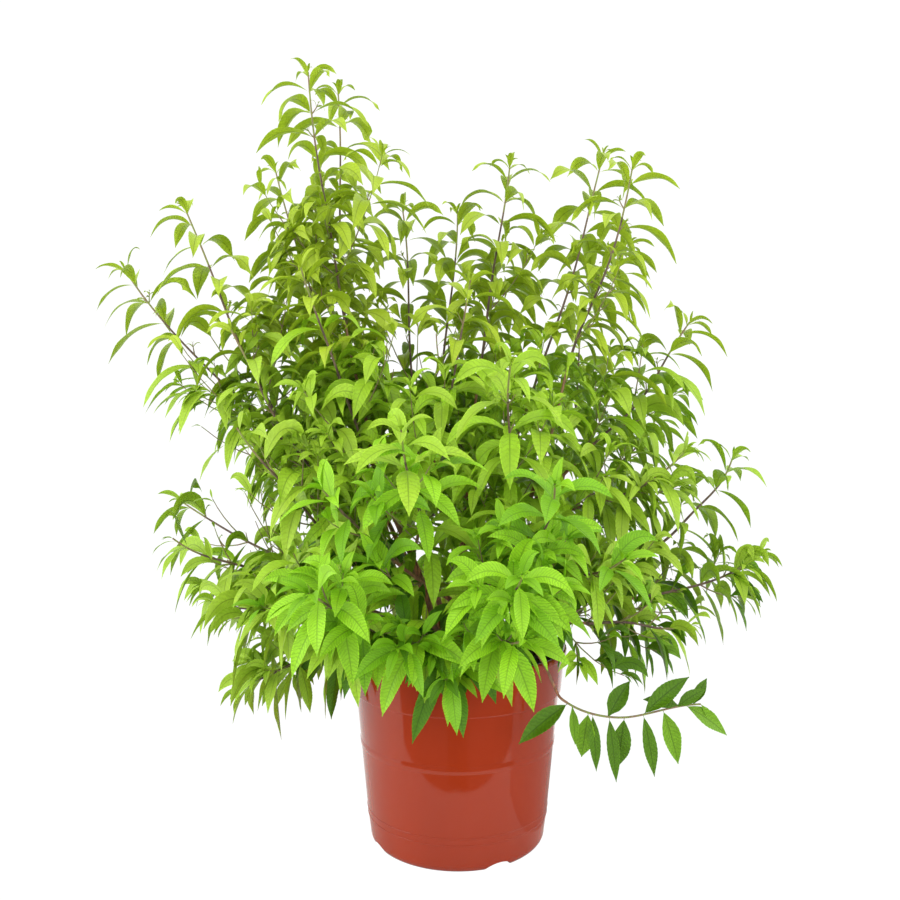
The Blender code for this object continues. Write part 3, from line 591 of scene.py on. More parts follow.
def raised_ring(middle):
    """A fine half-round ring on the wall, top to bottom."""
    half = RING_WIDTH / 2
    ring = [
        (
            wall_radius(middle + half * math.cos(turn)) + RING_HEIGHT * math.sin(turn),
            middle + half * math.cos(turn),
        )
        for turn in (math.pi * i / 6 for i in range(7))
    ]
    return plain_wall(middle + half + PLAIN_WALL) + ring + plain_wall(middle - half - PLAIN_WALL)


def raised_band(low, high):
    """A shallow band with sloping sides, top to bottom."""
    band = [
        (wall_radius(high), high),
        (wall_radius(high - BAND_SLOPE) + BAND_HEIGHT, high - BAND_SLOPE),
        (wall_radius(low + BAND_SLOPE) + BAND_HEIGHT, low + BAND_SLOPE),
        (wall_radius(low), low),
    ]
    return plain_wall(high + PLAIN_WALL) + band + plain_wall(low - PLAIN_WALL)


def pot_profile():
    """The outside of the pot, top to bottom, closed to the axis at both ends."""
    rim = wall_radius(POT_HEIGHT) + COLLAR_STEP
    bead_foot = POT_HEIGHT - RIM_DEPTH
    collar = wall_radius(COLLAR_FOOT) + COLLAR_STEP
    outer = rim + RIM_BEAD - BEAD_ROUND
    below_bead = bead_foot - 0.0006 - PLAIN_WALL
    above_foot = COLLAR_FOOT + COLLAR_ROUND + PLAIN_WALL
    return [
        (0.0, POT_HEIGHT),
        (outer - BEAD_ROUND, POT_HEIGHT),
        *arc((outer, POT_HEIGHT - BEAD_ROUND), BEAD_ROUND, 90.0, 0.0, ROUND_STEPS),
        *arc((outer, bead_foot + BEAD_ROUND), BEAD_ROUND, 0.0, -75.0, ROUND_STEPS),
        (wall_radius(bead_foot) + COLLAR_STEP, bead_foot - 0.0006),
        (wall_radius(below_bead) + COLLAR_STEP, below_bead),
        (wall_radius(above_foot) + COLLAR_STEP, above_foot),
        *arc((collar - COLLAR_ROUND, COLLAR_FOOT + COLLAR_ROUND), COLLAR_ROUND, 0, -90, ROUND_STEPS),
        (wall_radius(COLLAR_FOOT) + 0.0003, COLLAR_FOOT),
        (wall_radius(COLLAR_FOOT), COLLAR_FOOT - 0.0005),
        *plain_wall(COLLAR_FOOT - 0.0005 - PLAIN_WALL),
        *raised_band(*MIDDLE_BAND),
        *raised_ring(LOW_RINGS[0]),
        *raised_ring(LOW_RINGS[1]),
        *base_corner(0.0),
        (0.0, 0.0),
    ]


def inside_profile(inset, top):
    depth = POT_WALL + inset
    ledge = COLLAR_FOOT + POT_WALL + inset
    return [
        (0.0, top),
        (wall_radius(top) + COLLAR_STEP - depth, top),
        (wall_radius(ledge) + COLLAR_STEP - depth, ledge),
        (wall_radius(ledge) - depth, ledge - POT_WALL),
        *base_corner(depth),
        (0.0, depth),
    ]


def turned(name, profile, steps):
    """A solid of revolution about Z from a profile of (radius, height)."""

    def build(shape):
        rings = []
        for radius, height in profile:
            turns = [math.tau * i / steps for i in range(steps if radius else 1)]
            places = [(radius * math.cos(t), radius * math.sin(t), height) for t in turns]
            rings.append([shape.verts.new(place) for place in places])
        for upper, lower in zip(rings, rings[1:]):
            for i in range(steps):
                j = (i + 1) % steps
                corners = [upper[i % len(upper)], lower[i % len(lower)]]
                corners += [lower[j % len(lower)], upper[j % len(upper)]]
                shape.faces.new(list(dict.fromkeys(corners)))
        bmesh.ops.recalc_face_normals(shape, faces=shape.faces)

    return built(name, build)


def round_plugs(name, sides, length, place):
    """Plugs of unit radius, one for each drainage arch, each placed and sized by a matrix."""

    def build(shape):
        bmesh.ops.create_cone(
            shape, cap_ends=True, segments=sides, radius1=1.0, radius2=1.0, depth=length
        )

    plugs = []
    for index in range(ARCH_COUNT):
        turn = math.radians(ARCH_FIRST_DEG - 90.0 + index * 360.0 / ARCH_COUNT)
        plug = built(f"{name}_{index}", build)
        plug.matrix_world = Matrix.Rotation(turn, 4, "Z") @ place
        plugs.append(plug)
    return plugs


def arch_plugs(extra):
    """The drainage arches as solid plugs, each side grown by extra."""
    inner = ARCH_INNER_RADIUS - extra
    length = POT_BASE_RADIUS + ARCH_OVERRUN - inner
    size = Matrix.Diagonal((ARCH_HEIGHT + extra, ARCH_HALF_WIDTH + extra, 1.0, 1.0))
    out = Matrix.Translation((inner + length / 2, 0.0, 0.0)) @ Matrix.Rotation(math.pi / 2, 4, "Y")
    return round_plugs("arch", ARCH_SIDES, length, out @ size)


def drain_holes():
    """Round plugs that cut the drain hole at the back of each arch."""
    size = Matrix.Diagonal((DRAIN_RADIUS, DRAIN_RADIUS, 1.0, 1.0))
    out = Matrix.Translation((ARCH_INNER_RADIUS + DRAIN_INSET, 0.0, ARCH_HEIGHT))
    return round_plugs("drain", DRAIN_SIDES, DRAIN_DEPTH, out @ size)


def cut_by(obj, cutters):
    """Cuts each cutter from the object in turn, then removes the cutters."""
    for cutter in cutters:
        modifier = obj.modifiers.new("cut", "BOOLEAN")
        modifier.operation = "DIFFERENCE"
        modifier.object = cutter
    bpy.context.view_layer.update()
    graph = bpy.context.evaluated_depsgraph_get()
    mesh = bpy.data.meshes.new_from_object(obj.evaluated_get(graph))
    obj.modifiers.clear()
    obj.data = mesh
    for cutter in cutters:
        bpy.data.objects.remove(cutter)


def finish_turned(obj, material, angle_deg):
    obj.data.materials.clear()
    obj.data.materials.append(material)
    obj.data.shade_smooth()
    obj.data.set_sharp_from_angle(angle=math.radians(angle_deg))


def make_pot():
    cavity = turned("cavity", inside_profile(0.0, POT_HEIGHT + OVERRUN), POT_STEPS)
    cut_by(cavity, arch_plugs(POT_WALL))
    pot = turned("pot_shell", pot_profile(), POT_STEPS)
    cut_by(pot, [cavity, *arch_plugs(0.0), *drain_holes()])
    finish_turned(pot, pot_material(), POT_SHARP_DEG)
    keep_piece(pot, ["pot"])


def crumb_points(rule, place, size):
    """The eight corners of a rough lump."""
    corners = []
    for index in range(8):
        signs = [1 if index >> bit & 1 else -1 for bit in range(3)]
        corners.append([place[k] + size * signs[k] * rule.uniform(0.35, 0.75) for k in range(3)])
    return corners


def make_compost():
    """The filled pot's compost, a turned body with a lumpy top."""
    rule = random.Random(11)
    edge = wall_radius(SOIL_TOP) + COLLAR_STEP - POT_WALL - CLEAR
    rings = [(edge * (1.0 - i / SOIL_RINGS), SOIL_TOP) for i in range(SOIL_RINGS)]
    rings.reverse()
    profile = [(0.0, SOIL_TOP), *rings[:-1], *inside_profile(CLEAR, SOIL_TOP)[1:]]
    soil = turned("compost", profile, SOIL_STEPS)
    cut_by(soil, arch_plugs(POT_WALL + CLEAR))
    phases = [rule.uniform(0.0, 6.0) for _ in range(5)]
    points = np.empty(len(soil.data.vertices) * 3, np.float32)
    soil.data.vertices.foreach_get("co", points)
    points = points.reshape(-1, 3).astype(float)
    on_top = points[:, 2] > SOIL_TOP - 1e-5
    coarse = smooth_noise(phases, points * 90.0)
    fine = smooth_noise(phases[::-1], points * 420.0)
    points[on_top, 2] += SOIL_LUMPS * (coarse + 0.5 * fine)[on_top] - 0.4 * SOIL_LUMPS
    soil.data.vertices.foreach_set("co", points.astype(np.float32).ravel())
    finish_turned(soil, soil_material(), SOIL_SHARP_DEG)
    keep_piece(soil, ["soil"])
    make_crumbs(rule, edge - CRUMB_MARGIN, soil.data.materials[0])


def make_crumbs(rule, reach, material):
    """Loose crumbs over the compost."""
    pool = Pool()
    cube = np.array([(0, 2, 3, 1), (4, 5, 7, 6), (0, 1, 5, 4), (2, 6, 7, 3), (0, 4, 6, 2), (1, 3, 7, 5)])
    for _ in range(CRUMBS):
        out = reach * math.sqrt(rule.random())
        turn = rule.uniform(0.0, math.tau)
        place = (out * math.cos(turn), out * math.sin(turn), SOIL_TOP + rule.uniform(-0.001, 0.001))
        corners = np.array(crumb_points(rule, place, rule.uniform(*CRUMB_SIZE)))
        pool.add(corners, cube, np.zeros(6, int), np.zeros((8, 2)))
    crumbs = add_object("compost_crumbs", pool.mesh("compost_crumbs", [material]))
    keep_piece(crumbs, ["soil"])


# Limbs


def bezier(knots, share):
    a, b, c, d = knots
    rest = 1.0 - share
    return rest**3 * a + 3 * rest**2 * share * b + 3 * rest * share**2 * c + share**3 * d


def through(places, share):
    """A smooth curve through given places."""
    at = share * (len(places) - 1)
    index = min(int(at), len(places) - 2)
    before = places[max(index - 1, 0)]
    a, b = places[index], places[index + 1]
    after = places[min(index + 2, len(places) - 1)]
    t = at - index
    return 0.5 * (
        2 * a
        + (b - before) * t
        + (2 * before - 5 * a + 4 * b - after) * t**2
        + (3 * a - 3 * b + after - before) * t**3
    )


class Limb:
    """A tapering limb along a smooth line."""

    def __init__(self, curve, foot_radius, tip_radius, rings, flare=0.0):
        self.tip_radius = tip_radius
        self.line = [curve(i / (rings - 1)) for i in range(rings)]
        self.length = sum((b - a).length for a, b in zip(self.line, self.line[1:]))
        shares = [i / (rings - 1) for i in range(rings)]
        self.radii = [
            (foot_radius + (tip_radius - foot_radius) * share)
            * (1.0 + flare * math.exp(-share * self.length / FLARE_HEIGHT))
            for share in shares
        ]

    def at(self, share):
        """Place, heading and radius at a share of the length."""
        index = min(int(max(share, 0.0) * (len(self.line) - 1)), len(self.line) - 2)
        along = share * (len(self.line) - 1) - index
        low, high = self.line[index], self.line[index + 1]
        radius = self.radii[index] + (self.radii[index + 1] - self.radii[index]) * along
        return low.lerp(high, along), (high - low).normalized(), radius


def soil_stem(foot, tip, radius):
    start, end = Vector((*foot, SOIL_TOP + CLEAR)), Vector(tip)
    reach = (end - start).length
    arrive = ((end - start).normalized() + STEM_LIFT * UP).normalized()
    knots = (start, start + BEND * reach * UP, end - BEND * reach * arrive, end)
    return Limb(lambda s: bezier(knots, s), radius, STEM_TIP_RADIUS, STEM_RINGS, FLARE)


def forked_limb(parent, share, tip, radius, tip_radius, lift, rings, wander=None):
    """A limb that goes on from its parent's tip, or forks from its axis."""
    end = Vector(tip)
    joint, axis, _ = parent.at(share)
    chord = (end - joint).normalized()
    if share >= 1.0:
        radius = min(radius, parent.tip_radius * 0.92)
        heading = axis
    else:
        sideways = (chord - chord.dot(axis) * axis).normalized()
        fork = math.acos(max(-1.0, min(1.0, chord.dot(axis))))
        fork = min(max(fork, math.radians(LEAST_FORK_DEG)), math.radians(MOST_FORK_DEG))
        heading = math.cos(fork) * axis + math.sin(fork) * sideways
    reach = (end - joint).length
    arrive = (chord + lift * UP).normalized()
    knots = (joint, joint + BEND * reach * heading, end - BEND * reach * arrive, end)
    if wander is None:
        return Limb(lambda s: bezier(knots, s), radius, tip_radius, rings)
    sway = [Vector([wander.uniform(-1.0, 1.0) for _ in range(3)]) for _ in range(3)]

    def curve(share):
        offset = sum(
            (way * math.sin((k + 2) * math.pi * share) for k, way in enumerate(sway)), Vector()
        )
        return bezier(knots, share) + SHOOT_WANDER * offset

    return Limb(curve, radius, tip_radius, rings)


def tube(pool, line, radii, sides, slots, relief=None):
    """Rings along a line, each turned as little as can be from the one before."""
    line = np.array([list(place) for place in line])
    ways = unit(np.gradient(line, axis=0))
    side = np.cross(ways[0], [0.3, 0.9, 0.31])
    turns = np.arange(sides) * math.tau / sides
    rings = []
    for index, way in enumerate(ways):
        side = side - (side @ way) * way
        side = side / np.linalg.norm(side)
        up = np.cross(way, side)
        swell = np.ones(sides) if relief is None else relief(index, turns)
        around = np.cos(turns)[:, None] * side + np.sin(turns)[:, None] * up
        rings.append(line[index] + radii[index] * swell[:, None] * around)
    points = np.concatenate(rings)
    quads = grid_quads(len(line), sides, True)
    uvs = np.stack(np.meshgrid(np.arange(sides) / sides, np.linspace(0, 1, len(line))), axis=-1)
    pool.add(points, quads, np.repeat(slots, sides), uvs.reshape(-1, 2))


def make_bark(limbs, material):
    """One mesh for the stems and boughs, ridged lengthwise and a little knotted."""
    pool = Pool()
    rule = random.Random(5)
    for limb in limbs.values():
        phase = [rule.uniform(0.0, math.tau) for _ in range(4)]

        def relief(index, turns):
            along = index / 9.0
            ridges = np.sin(BARK_RIDGES * turns + phase[0] + 1.3 * math.sin(along + phase[1]))
            rough = np.sin(3 * turns + 2.1 * along + phase[2]) * math.sin(1.7 * along + phase[3])
            return 1.0 + BARK_RELIEF * (0.6 * ridges + 0.5 * rough)

        line = limb.line + [limb.line[-1] + 0.0006 * (limb.line[-1] - limb.line[-2]).normalized()]
        radii = limb.radii + [0.00005]
        tube(pool, line, radii, STEM_SIDES, np.zeros(len(line) - 1, int), relief)
    bark = add_object("stems_and_boughs", pool.mesh("stems_and_boughs", [material]))
    keep_piece(bark, limbs)


# Spaces


class Garden:
    """All limbs and shoots, which tell whether a leaf or twig keeps to its place."""

    def __init__(self, limbs, shoots):
        names = list(shoots)
        rows = []
        for name, limb in [*limbs.items(), *shoots.items()]:
            line = limb.line[:: 6 if name in limbs else 4] + [limb.line[-1]]
            owner = names.index(name) if name in shoots else -1
            stretches = [(a, b) for a, b in zip(line, line[1:]) if (b - a).length >= 1e-6]
            rows += [(*a, *b, owner, limb.radii[0]) for a, b in stretches]
        rows = np.array(rows)
        self.starts = rows[:, :3]
        self.along = rows[:, 3:6] - self.starts
        self.squares = (self.along**2).sum(1)
        self.owners, self.radii = rows[:, 6], rows[:, 7]
        self.names = names
        self.sky_rule = random.Random("sky")

    def gaps(self, points):
        """Distance of each point from each stretch of stem."""
        away = points[:, None, :] - self.starts[None]
        share = np.clip((away * self.along).sum(2) / self.squares, 0.0, 1.0)
        return np.linalg.norm(away - share[:, :, None] * self.along, axis=2)

    def keeps(self, owner, points):
        out = np.hypot(points[:, 0], points[:, 1])
        wall = POT_BASE_RADIUS + POT_TAPER * points[:, 2]
        low = points[:, 2] < POT_HEIGHT + POT_MARGIN
        near = out < wall + COLLAR_STEP + RIM_BEAD + POT_MARGIN
        room = (out < wall - POT_WALL - POT_MARGIN) & (points[:, 2] > SOIL_TOP + 0.002)
        if (low & near & ~room).any():
            return False
        gaps = self.gaps(points)
        wood = self.owners < 0
        if (gaps[:, wood] - self.radii[wood]).min() < LIMB_MARGIN:
            return False
        own = self.owners == self.names.index(owner)
        others = gaps[:, ~wood & ~own].min(1)
        return bool((others > gaps[:, own].min(1) - SHARED_SPACE).all())


# Foliage


class Leaf:
    """One leaf: root, heading, upper side, length, half width over length, droop, curl, puff
    between veins, and material slot."""

    def __init__(self, root, heading, face, *posture):
        self.root, self.heading, self.face = (np.array(way) for way in (root, heading, face))
        self.length, self.shape, self.droop, self.curl, self.puff, self.colour = posture

    def probes(self):
        """Points on the leaf that stand for it where its space is tested."""
        place = self.root.copy()
        points = []
        for share in (0.1, 0.3, 0.5, 0.7, 0.9):
            bend = self.droop * share**LEAF_DROOP_POWER
            way = unit(self.heading - bend * np.array(UP) - self.curl * share * self.face)
            place = place + 0.2 * self.length * way
            if share > 0.2:
                side = np.cross(way, self.face) * self.shape * self.length * 0.8
                points += [place, place + side * (1 - share), place - side * (1 - share)]
        return np.array(points)


def habit_at(place):
    """A full-grown leaf's habit at a place in the crown."""
    if place.y < FRONT_LINE and place.z < FRONT_TOP:
        return HABIT_FRONT
    if abs(place.x) > HANGING_FROM and place.z < HANGING_TOP[place.x > 0.0]:
        return HABIT_HANGING
    high = min(max((place.z - HIGH_FROM) / (HIGH_FULL - HIGH_FROM), 0.0), 1.0)
    return [high * a + (1.0 - high) * b for a, b in zip(HABIT_HIGH, HABIT_INSIDE)]


def leaf_from(rule, root, axis, turn, opening, length, shape=1.0, droop=1.0, puff=0.0, colour=0):
    """A leaf that leaves a twig at a turn about its axis and an opening from its heading."""
    side = axis.cross(Vector((0.0, 1.0, 0.0)) if abs(axis.z) > 0.9 else UP)
    outward = Matrix.Rotation(turn, 3, axis) @ side.normalized()
    heading = (math.cos(opening) * axis + math.sin(opening) * outward).normalized()
    face = (1.0 - LEAF_FACES_UP) * axis + LEAF_FACES_UP * UP
    face = Matrix.Rotation(rule.uniform(-0.3, 0.3), 3, heading) @ face
    face = (face - face.dot(heading) * heading).normalized()
    droop *= rule.uniform(0.75, 1.25)
    shape *= rule.uniform(0.88, 1.10)
    curl = LEAF_CURL * rule.uniform(0.3, 1.5)
    return Leaf(root, heading, face, length, shape, droop, curl, puff, colour)


def drooping_leaves(shoot):
    """The leaves of the branch over the rim, each placed as it hangs."""
    rule = random.Random("drooping leaves")
    leaves = []
    for share, way, length, shape in DROOPING_LEAVES:
        heading = Vector(way).normalized()
        face = Vector(DROOPING_FACE)
        face = (face - face.dot(heading) * heading).normalized()
        root = shoot.at(share)[0]
        # Painted shade: the branch under the crown takes the hanging part's half-shaded and shaded greens.
        colour = green("hanging", rule.choice((HALF_SHADED, SHADED, SHADED)))
        leaves.append(
            Leaf(root, heading, face, length, shape, DROOPING_DROOP, LEAF_CURL, DROOPING_PUFF, colour)
        )
    return leaves


def green(part, level):
    """The material slot of a part of the crown's light, half-shaded or shaded green, the darker ones painted
    shade.
    """
    return list(LEAF_GREENS).index(part) * 3 + level


def in_sky(rule, leaf):
    """True for a leaf left out because its middle would close a gap in the crown."""
    place = leaf.root + 0.5 * leaf.length * unit(leaf.heading - 0.3 * leaf.droop * np.array(UP))
    nearer = CAMERA_DISTANCE / (CAMERA_DISTANCE + place[1])
    x, z = place[0] * nearer, CAMERA_HEIGHT + (place[2] - CAMERA_HEIGHT) * nearer
    for (middle_x, middle_z), (half_width, half_height), share, depth in SKY:
        off = ((x - middle_x) / half_width) ** 2 + ((z - middle_z) / half_height) ** 2
        if off < 1.0 and place[1] < depth and rule.random() < share:
            return True
    return False


def shade_of(rule, node, place):
    """The green of a spray: pale young leaves at the tips, and painted shade elsewhere, with darker greens
    low down and inside the crown and lighter ones high and out.
    """
    out = math.hypot(place.x, place.y) / CROWN_RADIUS
    depth = out + HEIGHT_WEIGHT * (place.z - CROWN_FOOT) / CROWN_HEIGHT + rule.uniform(-0.20, 0.20)
    border = rule.uniform(-0.03, 0.03)
    any_level = rule.choice((LIGHT, HALF_SHADED, SHADED))
    # Painted shade: low at the back leaves take the inner half-shaded and shaded greens, and low inside the
    # crown the darkest front green.
    if place.y > LOW_BACK[0] and place.z < LOW_BACK[1]:
        return green("inner", rule.choice((HALF_SHADED, SHADED, SHADED)))
    if out < LOW_INSIDE[0] and place.z < LOW_INSIDE[1]:
        return green("front", SHADED)
    if place.y < LOW_FRONT[0] and place.z < LOW_FRONT[1]:
        return green("front", rule.choice((LIGHT, LIGHT, HALF_SHADED) if depth > 0.55 else (HALF_SHADED, SHADED, SHADED)))
    if place.x > HANGING_PART[0] + border and place.z < HANGING_PART[1] + border:
        return green("hanging", any_level)
    if place.z > HIGH_PART + border:
        part = "high"
    else:
        part = "outer" if abs(place.x) > OUTER_PART + border else "inner"
    if node <= 1 and place.z > HIGH_FROM:
        return green(part, LIGHT)
    if depth > 1.05 or (node <= 3 and depth > 0.6):
        return green(part, rule.choice((LIGHT, LIGHT, HALF_SHADED)))
    if depth > 0.75:
        return green(part, any_level)
    if depth > 0.45:
        return green(part, rule.choice((HALF_SHADED, HALF_SHADED, SHADED, SHADED)))
    return green(part, SHADED)


def level_of(place):
    """0 low in the crown, 1 in its middle, 2 high up."""
    return int(place.z > LOW_CROWN) + int(place.z > HIGH_CROWN)


def dress(garden, owner, rule, limb, size, leaves, twigs, order):
    """Whorls along a shoot from its tip down, with tufts and side twigs in their axils."""
    turn = rule.uniform(0.0, math.tau)
    back = 0.0
    node = 0
    while back < limb.length * LEAFY_SHARE[order > 0] - BARE_FOOT:
        place, axis, _ = limb.at(1.0 - back / limb.length)
        full_length, shape, full_droop, widest_open, puff, growth = habit_at(place)
        grown = min(1.0, YOUNGEST_LEAF_SHARE + growth * node)
        length = full_length * size * grown
        droop = full_droop * (YOUNGEST_DROOP_SHARE + (1.0 - YOUNGEST_DROOP_SHARE) * grown)
        droop *= min(MOST_SAG, 1.0 + OLD_LEAF_SAG * max(0, node - 3))
        opening = math.radians(min(widest_open, YOUNGEST_OPEN_DEG + OPEN_GROWTH_DEG * node))
        colour = shade_of(rule, node, place)
        first = FIRST_AXIL[level_of(place)][order]
        for index in range(WHORL):
            way = turn + index * math.tau / WHORL + rule.uniform(-0.15, 0.15)
            wide, long = rule.uniform(0.88, 1.18), rule.uniform(0.88, 1.08)
            for share in LEAF_TRIES:
                leaf = leaf_from(
                    rule, place, axis, way, opening * wide, length * long * share, shape, droop, puff, colour
                )
                if garden.keeps(owner, leaf.probes()):
                    if not in_sky(garden.sky_rule, leaf):
                        leaves.append(leaf)
                    break
            if node >= FIRST_TUFT and order < 2:
                reach = TWIG_BACK_SHARE * back if node >= first else 0.0
                grow_axil(garden, owner, rule, place, axis, way, reach, leaves, twigs, order)
        spacing = min(WHORL_SPACING[level_of(place)], FIRST_SPACING + SPACING_GROWTH * node)
        back += spacing * SPACING_SHARE[order > 0] * rule.uniform(0.9, 1.1)
        turn += math.pi / WHORL + rule.uniform(-0.12, 0.12)
        node += 1


def grow_axil(garden, owner, rule, place, axis, turn, most, leaves, twigs, order):
    """What sits in a leaf's axil: nothing, a tuft of small leaves, or a side twig up to a reach."""
    chance = rule.random()
    bare = BARE_AXILS[level_of(place)][order]
    if chance < bare:
        return
    tuft = chance < bare + TUFTS[order]
    reach = TUFT_REACH if tuft else min(rule.uniform(*TWIG_REACH[order]), most)
    if reach < TUFT_REACH:
        return
    opening = math.radians(rule.uniform(*TWIG_OPENING_DEG))
    guide = leaf_from(rule, place, axis, turn, opening, reach)
    heading = Vector(guide.heading)
    end = place + reach * (heading + TWIG_RISE * UP).normalized()
    if not tuft and not garden.keeps(owner, np.array([list(place.lerp(end, 0.6)), list(end)])):
        return
    arrive = (end - place).normalized() + 0.5 * UP
    knots = (place, place + 0.35 * reach * heading, end - 0.3 * reach * arrive.normalized(), end)
    twig = Limb(lambda s: bezier(knots, s), TWIG_RADIUS, TWIG_TIP_RADIUS, TWIG_RINGS)
    size = TUFT_SIZE if tuft else TWIG_LEAF_SHARE[order]
    before = len(leaves)
    dress(garden, owner, rule, twig, size * rule.uniform(0.85, 1.1), leaves, twigs, order + 1)
    if len(leaves) > before:
        twigs.append(twig)


# Points along and across a leaf.
FINEST, FINE, PLAIN, SMALL = (37, 5), (25, 5), (13, 5), (7, 3)


def outline(share):
    """A lance-shaped leaf's half width along it, 1 at its widest, on a thin stalk."""
    blade = np.clip((share - PETIOLE_SHARE) / (1.0 - PETIOLE_SHARE), 0.0, 1.0)
    swell = blade * (1.0 - blade) ** LEAF_TAPER
    widest = 1.0 / (1.0 + LEAF_TAPER)
    return np.maximum(swell / (widest * (1.0 - widest) ** LEAF_TAPER), STALK_WIDTH)


def gathered(leaves, name):
    """One measure of every leaf, as rows."""
    return np.array([getattr(leaf, name) for leaf in leaves])


def bent_lines(leaves):
    """Each leaf's middle line and its headings, bent down by its weight: (leaf, step, 3)."""
    face, heading = gathered(leaves, "face"), gathered(leaves, "heading")
    stride = gathered(leaves, "length")[:, None] / LEAF_BEND_STEPS
    droop, curl = gathered(leaves, "droop")[:, None], gathered(leaves, "curl")[:, None]
    places, ways = [gathered(leaves, "root")], [heading]
    for step in range(LEAF_BEND_STEPS):
        share = (step + 0.5) / LEAF_BEND_STEPS
        bend = droop * share**LEAF_DROOP_POWER * np.array(UP)
        ways.append(unit(heading - bend - curl * share * face))
        places.append(places[-1] + stride * ways[-1])
    return np.stack(places, 1), np.stack(ways, 1), face


def blades(pool, leaves, detail, seed):
    """Adds many leaves at once: folded along the midrib, finely toothed, and puffed between
    veins that run forward to the edge."""
    count, across = detail
    t = np.linspace(-1.0, 1.0, across)[None, None, :]
    rows = np.linspace(0.0, 1.0, count)[None, :, None]
    noise = np.random.default_rng(seed)
    ahead = rows + VEIN_AHEAD * np.abs(t) * outline(rows) * (1.0 - rows)
    places, ways, face = bent_lines(leaves)
    low = np.minimum((ahead * LEAF_BEND_STEPS).astype(int), LEAF_BEND_STEPS - 1)[0]
    between = (ahead[0] * LEAF_BEND_STEPS - low)[None, :, :, None]
    line = places[:, low] * (1.0 - between) + places[:, low + 1] * between
    way = unit(ways[:, low] * (1.0 - between) + ways[:, low + 1] * between)
    face = face[:, None, None, :]
    flat = unit(face - (face * way).sum(3, keepdims=True) * way)
    side = np.cross(way, flat)
    widest = (gathered(leaves, "shape") * gathered(leaves, "length"))[:, None, None]
    half = widest * outline(ahead)
    on_vein = np.where(np.arange(count) % 2 == 0, 1.0, -1.0)[None, :, None]
    on_vein = on_vein * np.minimum(1.0, 5.0 * (1.0 - rows))
    edge = np.abs(t) == 1.0
    fold = LEAF_FOLD * noise.uniform(0.5, 1.5, (len(leaves), 1, 1))
    wave = noise.uniform(0.0, math.tau, (len(leaves), 1, 1))
    ripple = LEAF_RIPPLE * np.sin(9.0 * rows + wave) * np.sign(t) * edge
    lift = half * (fold * np.abs(t) + ripple)
    puff = gathered(leaves, "puff")[:, None, None]
    lift = lift - puff * widest * on_vein * np.where(edge | (t == 0.0), 0.0, 1.0)
    out = half * t * (1.0 + LEAF_TOOTH * on_vein * edge)
    points = line + side * out[..., None] + flat * lift[..., None]
    quads = grid_quads(count, across, False)
    each = count * across
    all_quads = (quads[None] + (np.arange(len(leaves)) * each)[:, None, None]).reshape(-1, 4)
    one = np.stack(np.meshgrid(0.5 + 0.5 * t.ravel(), rows.ravel()), axis=-1).reshape(-1, 2)
    slots = np.repeat(gathered(leaves, "colour"), len(quads))
    pool.add(points.reshape(-1, 3), all_quads, slots, np.tile(one, (len(leaves), 1)))


def detail_of(leaf):
    """How finely a leaf is made: by its length, finest in front and plainer at the back."""
    if leaf.length < SMALL_LEAF:
        return SMALL
    if leaf.length < LARGE_LEAF or leaf.root[1] > PLAIN_BEHIND:
        return PLAIN
    return FINEST if leaf.root[1] < LOW_FRONT[0] and leaf.root[2] < LOW_FRONT[1] else FINE


def side_of(name):
    """The part of the crown that a mass belongs to."""
    for side in ("back", "front", "left", "right", "centre"):
        if name.startswith(f"foliage_{side}"):
            return side
    return "drooping"


def batches_of(grown):
    """The masses by side of the crown, parted where a joined piece would grow too large."""
    batches = {}
    for name, (leaves, twigs) in grown.items():
        parts = batches.setdefault(side_of(name), [[]])
        earlier = [leaf for mass in parts[-1] for leaf in grown[mass][0]]
        if sum(LEAF_TRIANGLES[leaf.length > LARGE_LEAF] for leaf in earlier) > PIECE_TRIANGLES:
            parts.append([])
        parts[-1].append(name)
    return {f"{side}_{number}": names for side in batches for number, names in enumerate(batches[side], 1)}


def make_leaves(name, masses, grown, materials):
    leaves = [leaf for mass in masses for leaf in grown[mass][0]]
    pool = Pool()
    for kind in (FINEST, FINE, PLAIN, SMALL):
        chosen = [leaf for leaf in leaves if detail_of(leaf) is kind]
        if chosen:
            blades(pool, chosen, kind, len(leaves))
    keep_piece(add_object(name, pool.mesh(name, materials)), masses)


def make_twigs(name, masses, grown, shoots, materials):
    """Shoots and their side twigs: old wood at a shoot's foot, then bark, and green at its tip."""
    along = np.arange(SHOOT_RINGS - 1) / SHOOT_RINGS
    aged = np.where(along < GREEN_SHARE, BROWN, GREEN)
    aged[along < OLD_WOOD_SHARE] = OLD_WOOD
    pool = Pool()
    for mass in masses:
        slots = np.full(SHOOT_RINGS - 1, GREEN) if mass == "foliage_drooping" else aged
        tube(pool, shoots[mass].line, shoots[mass].radii, SHOOT_SIDES, slots)
        for twig in grown[mass][1]:
            tube(pool, twig.line, twig.radii, TWIG_SIDES, np.full(TWIG_RINGS - 1, GREEN))
    keep_piece(add_object(name, pool.mesh(name, materials)), masses)


def make_foliage(limbs, shoots, leaf_materials, twig_materials):
    garden = Garden(limbs, shoots)
    grown = {}
    for name, shoot in shoots.items():
        leaves, twigs = [], []
        if name == "foliage_drooping":
            leaves = drooping_leaves(shoot)
        else:
            dress(garden, name, random.Random(name), shoot, 1.0, leaves, twigs, 0)
        grown[name] = leaves, twigs
    for label, masses in batches_of(grown).items():
        make_leaves(f"leaves_{label}", masses, grown, leaf_materials)
        make_twigs(f"twigs_{label}", masses, grown, shoots, twig_materials)


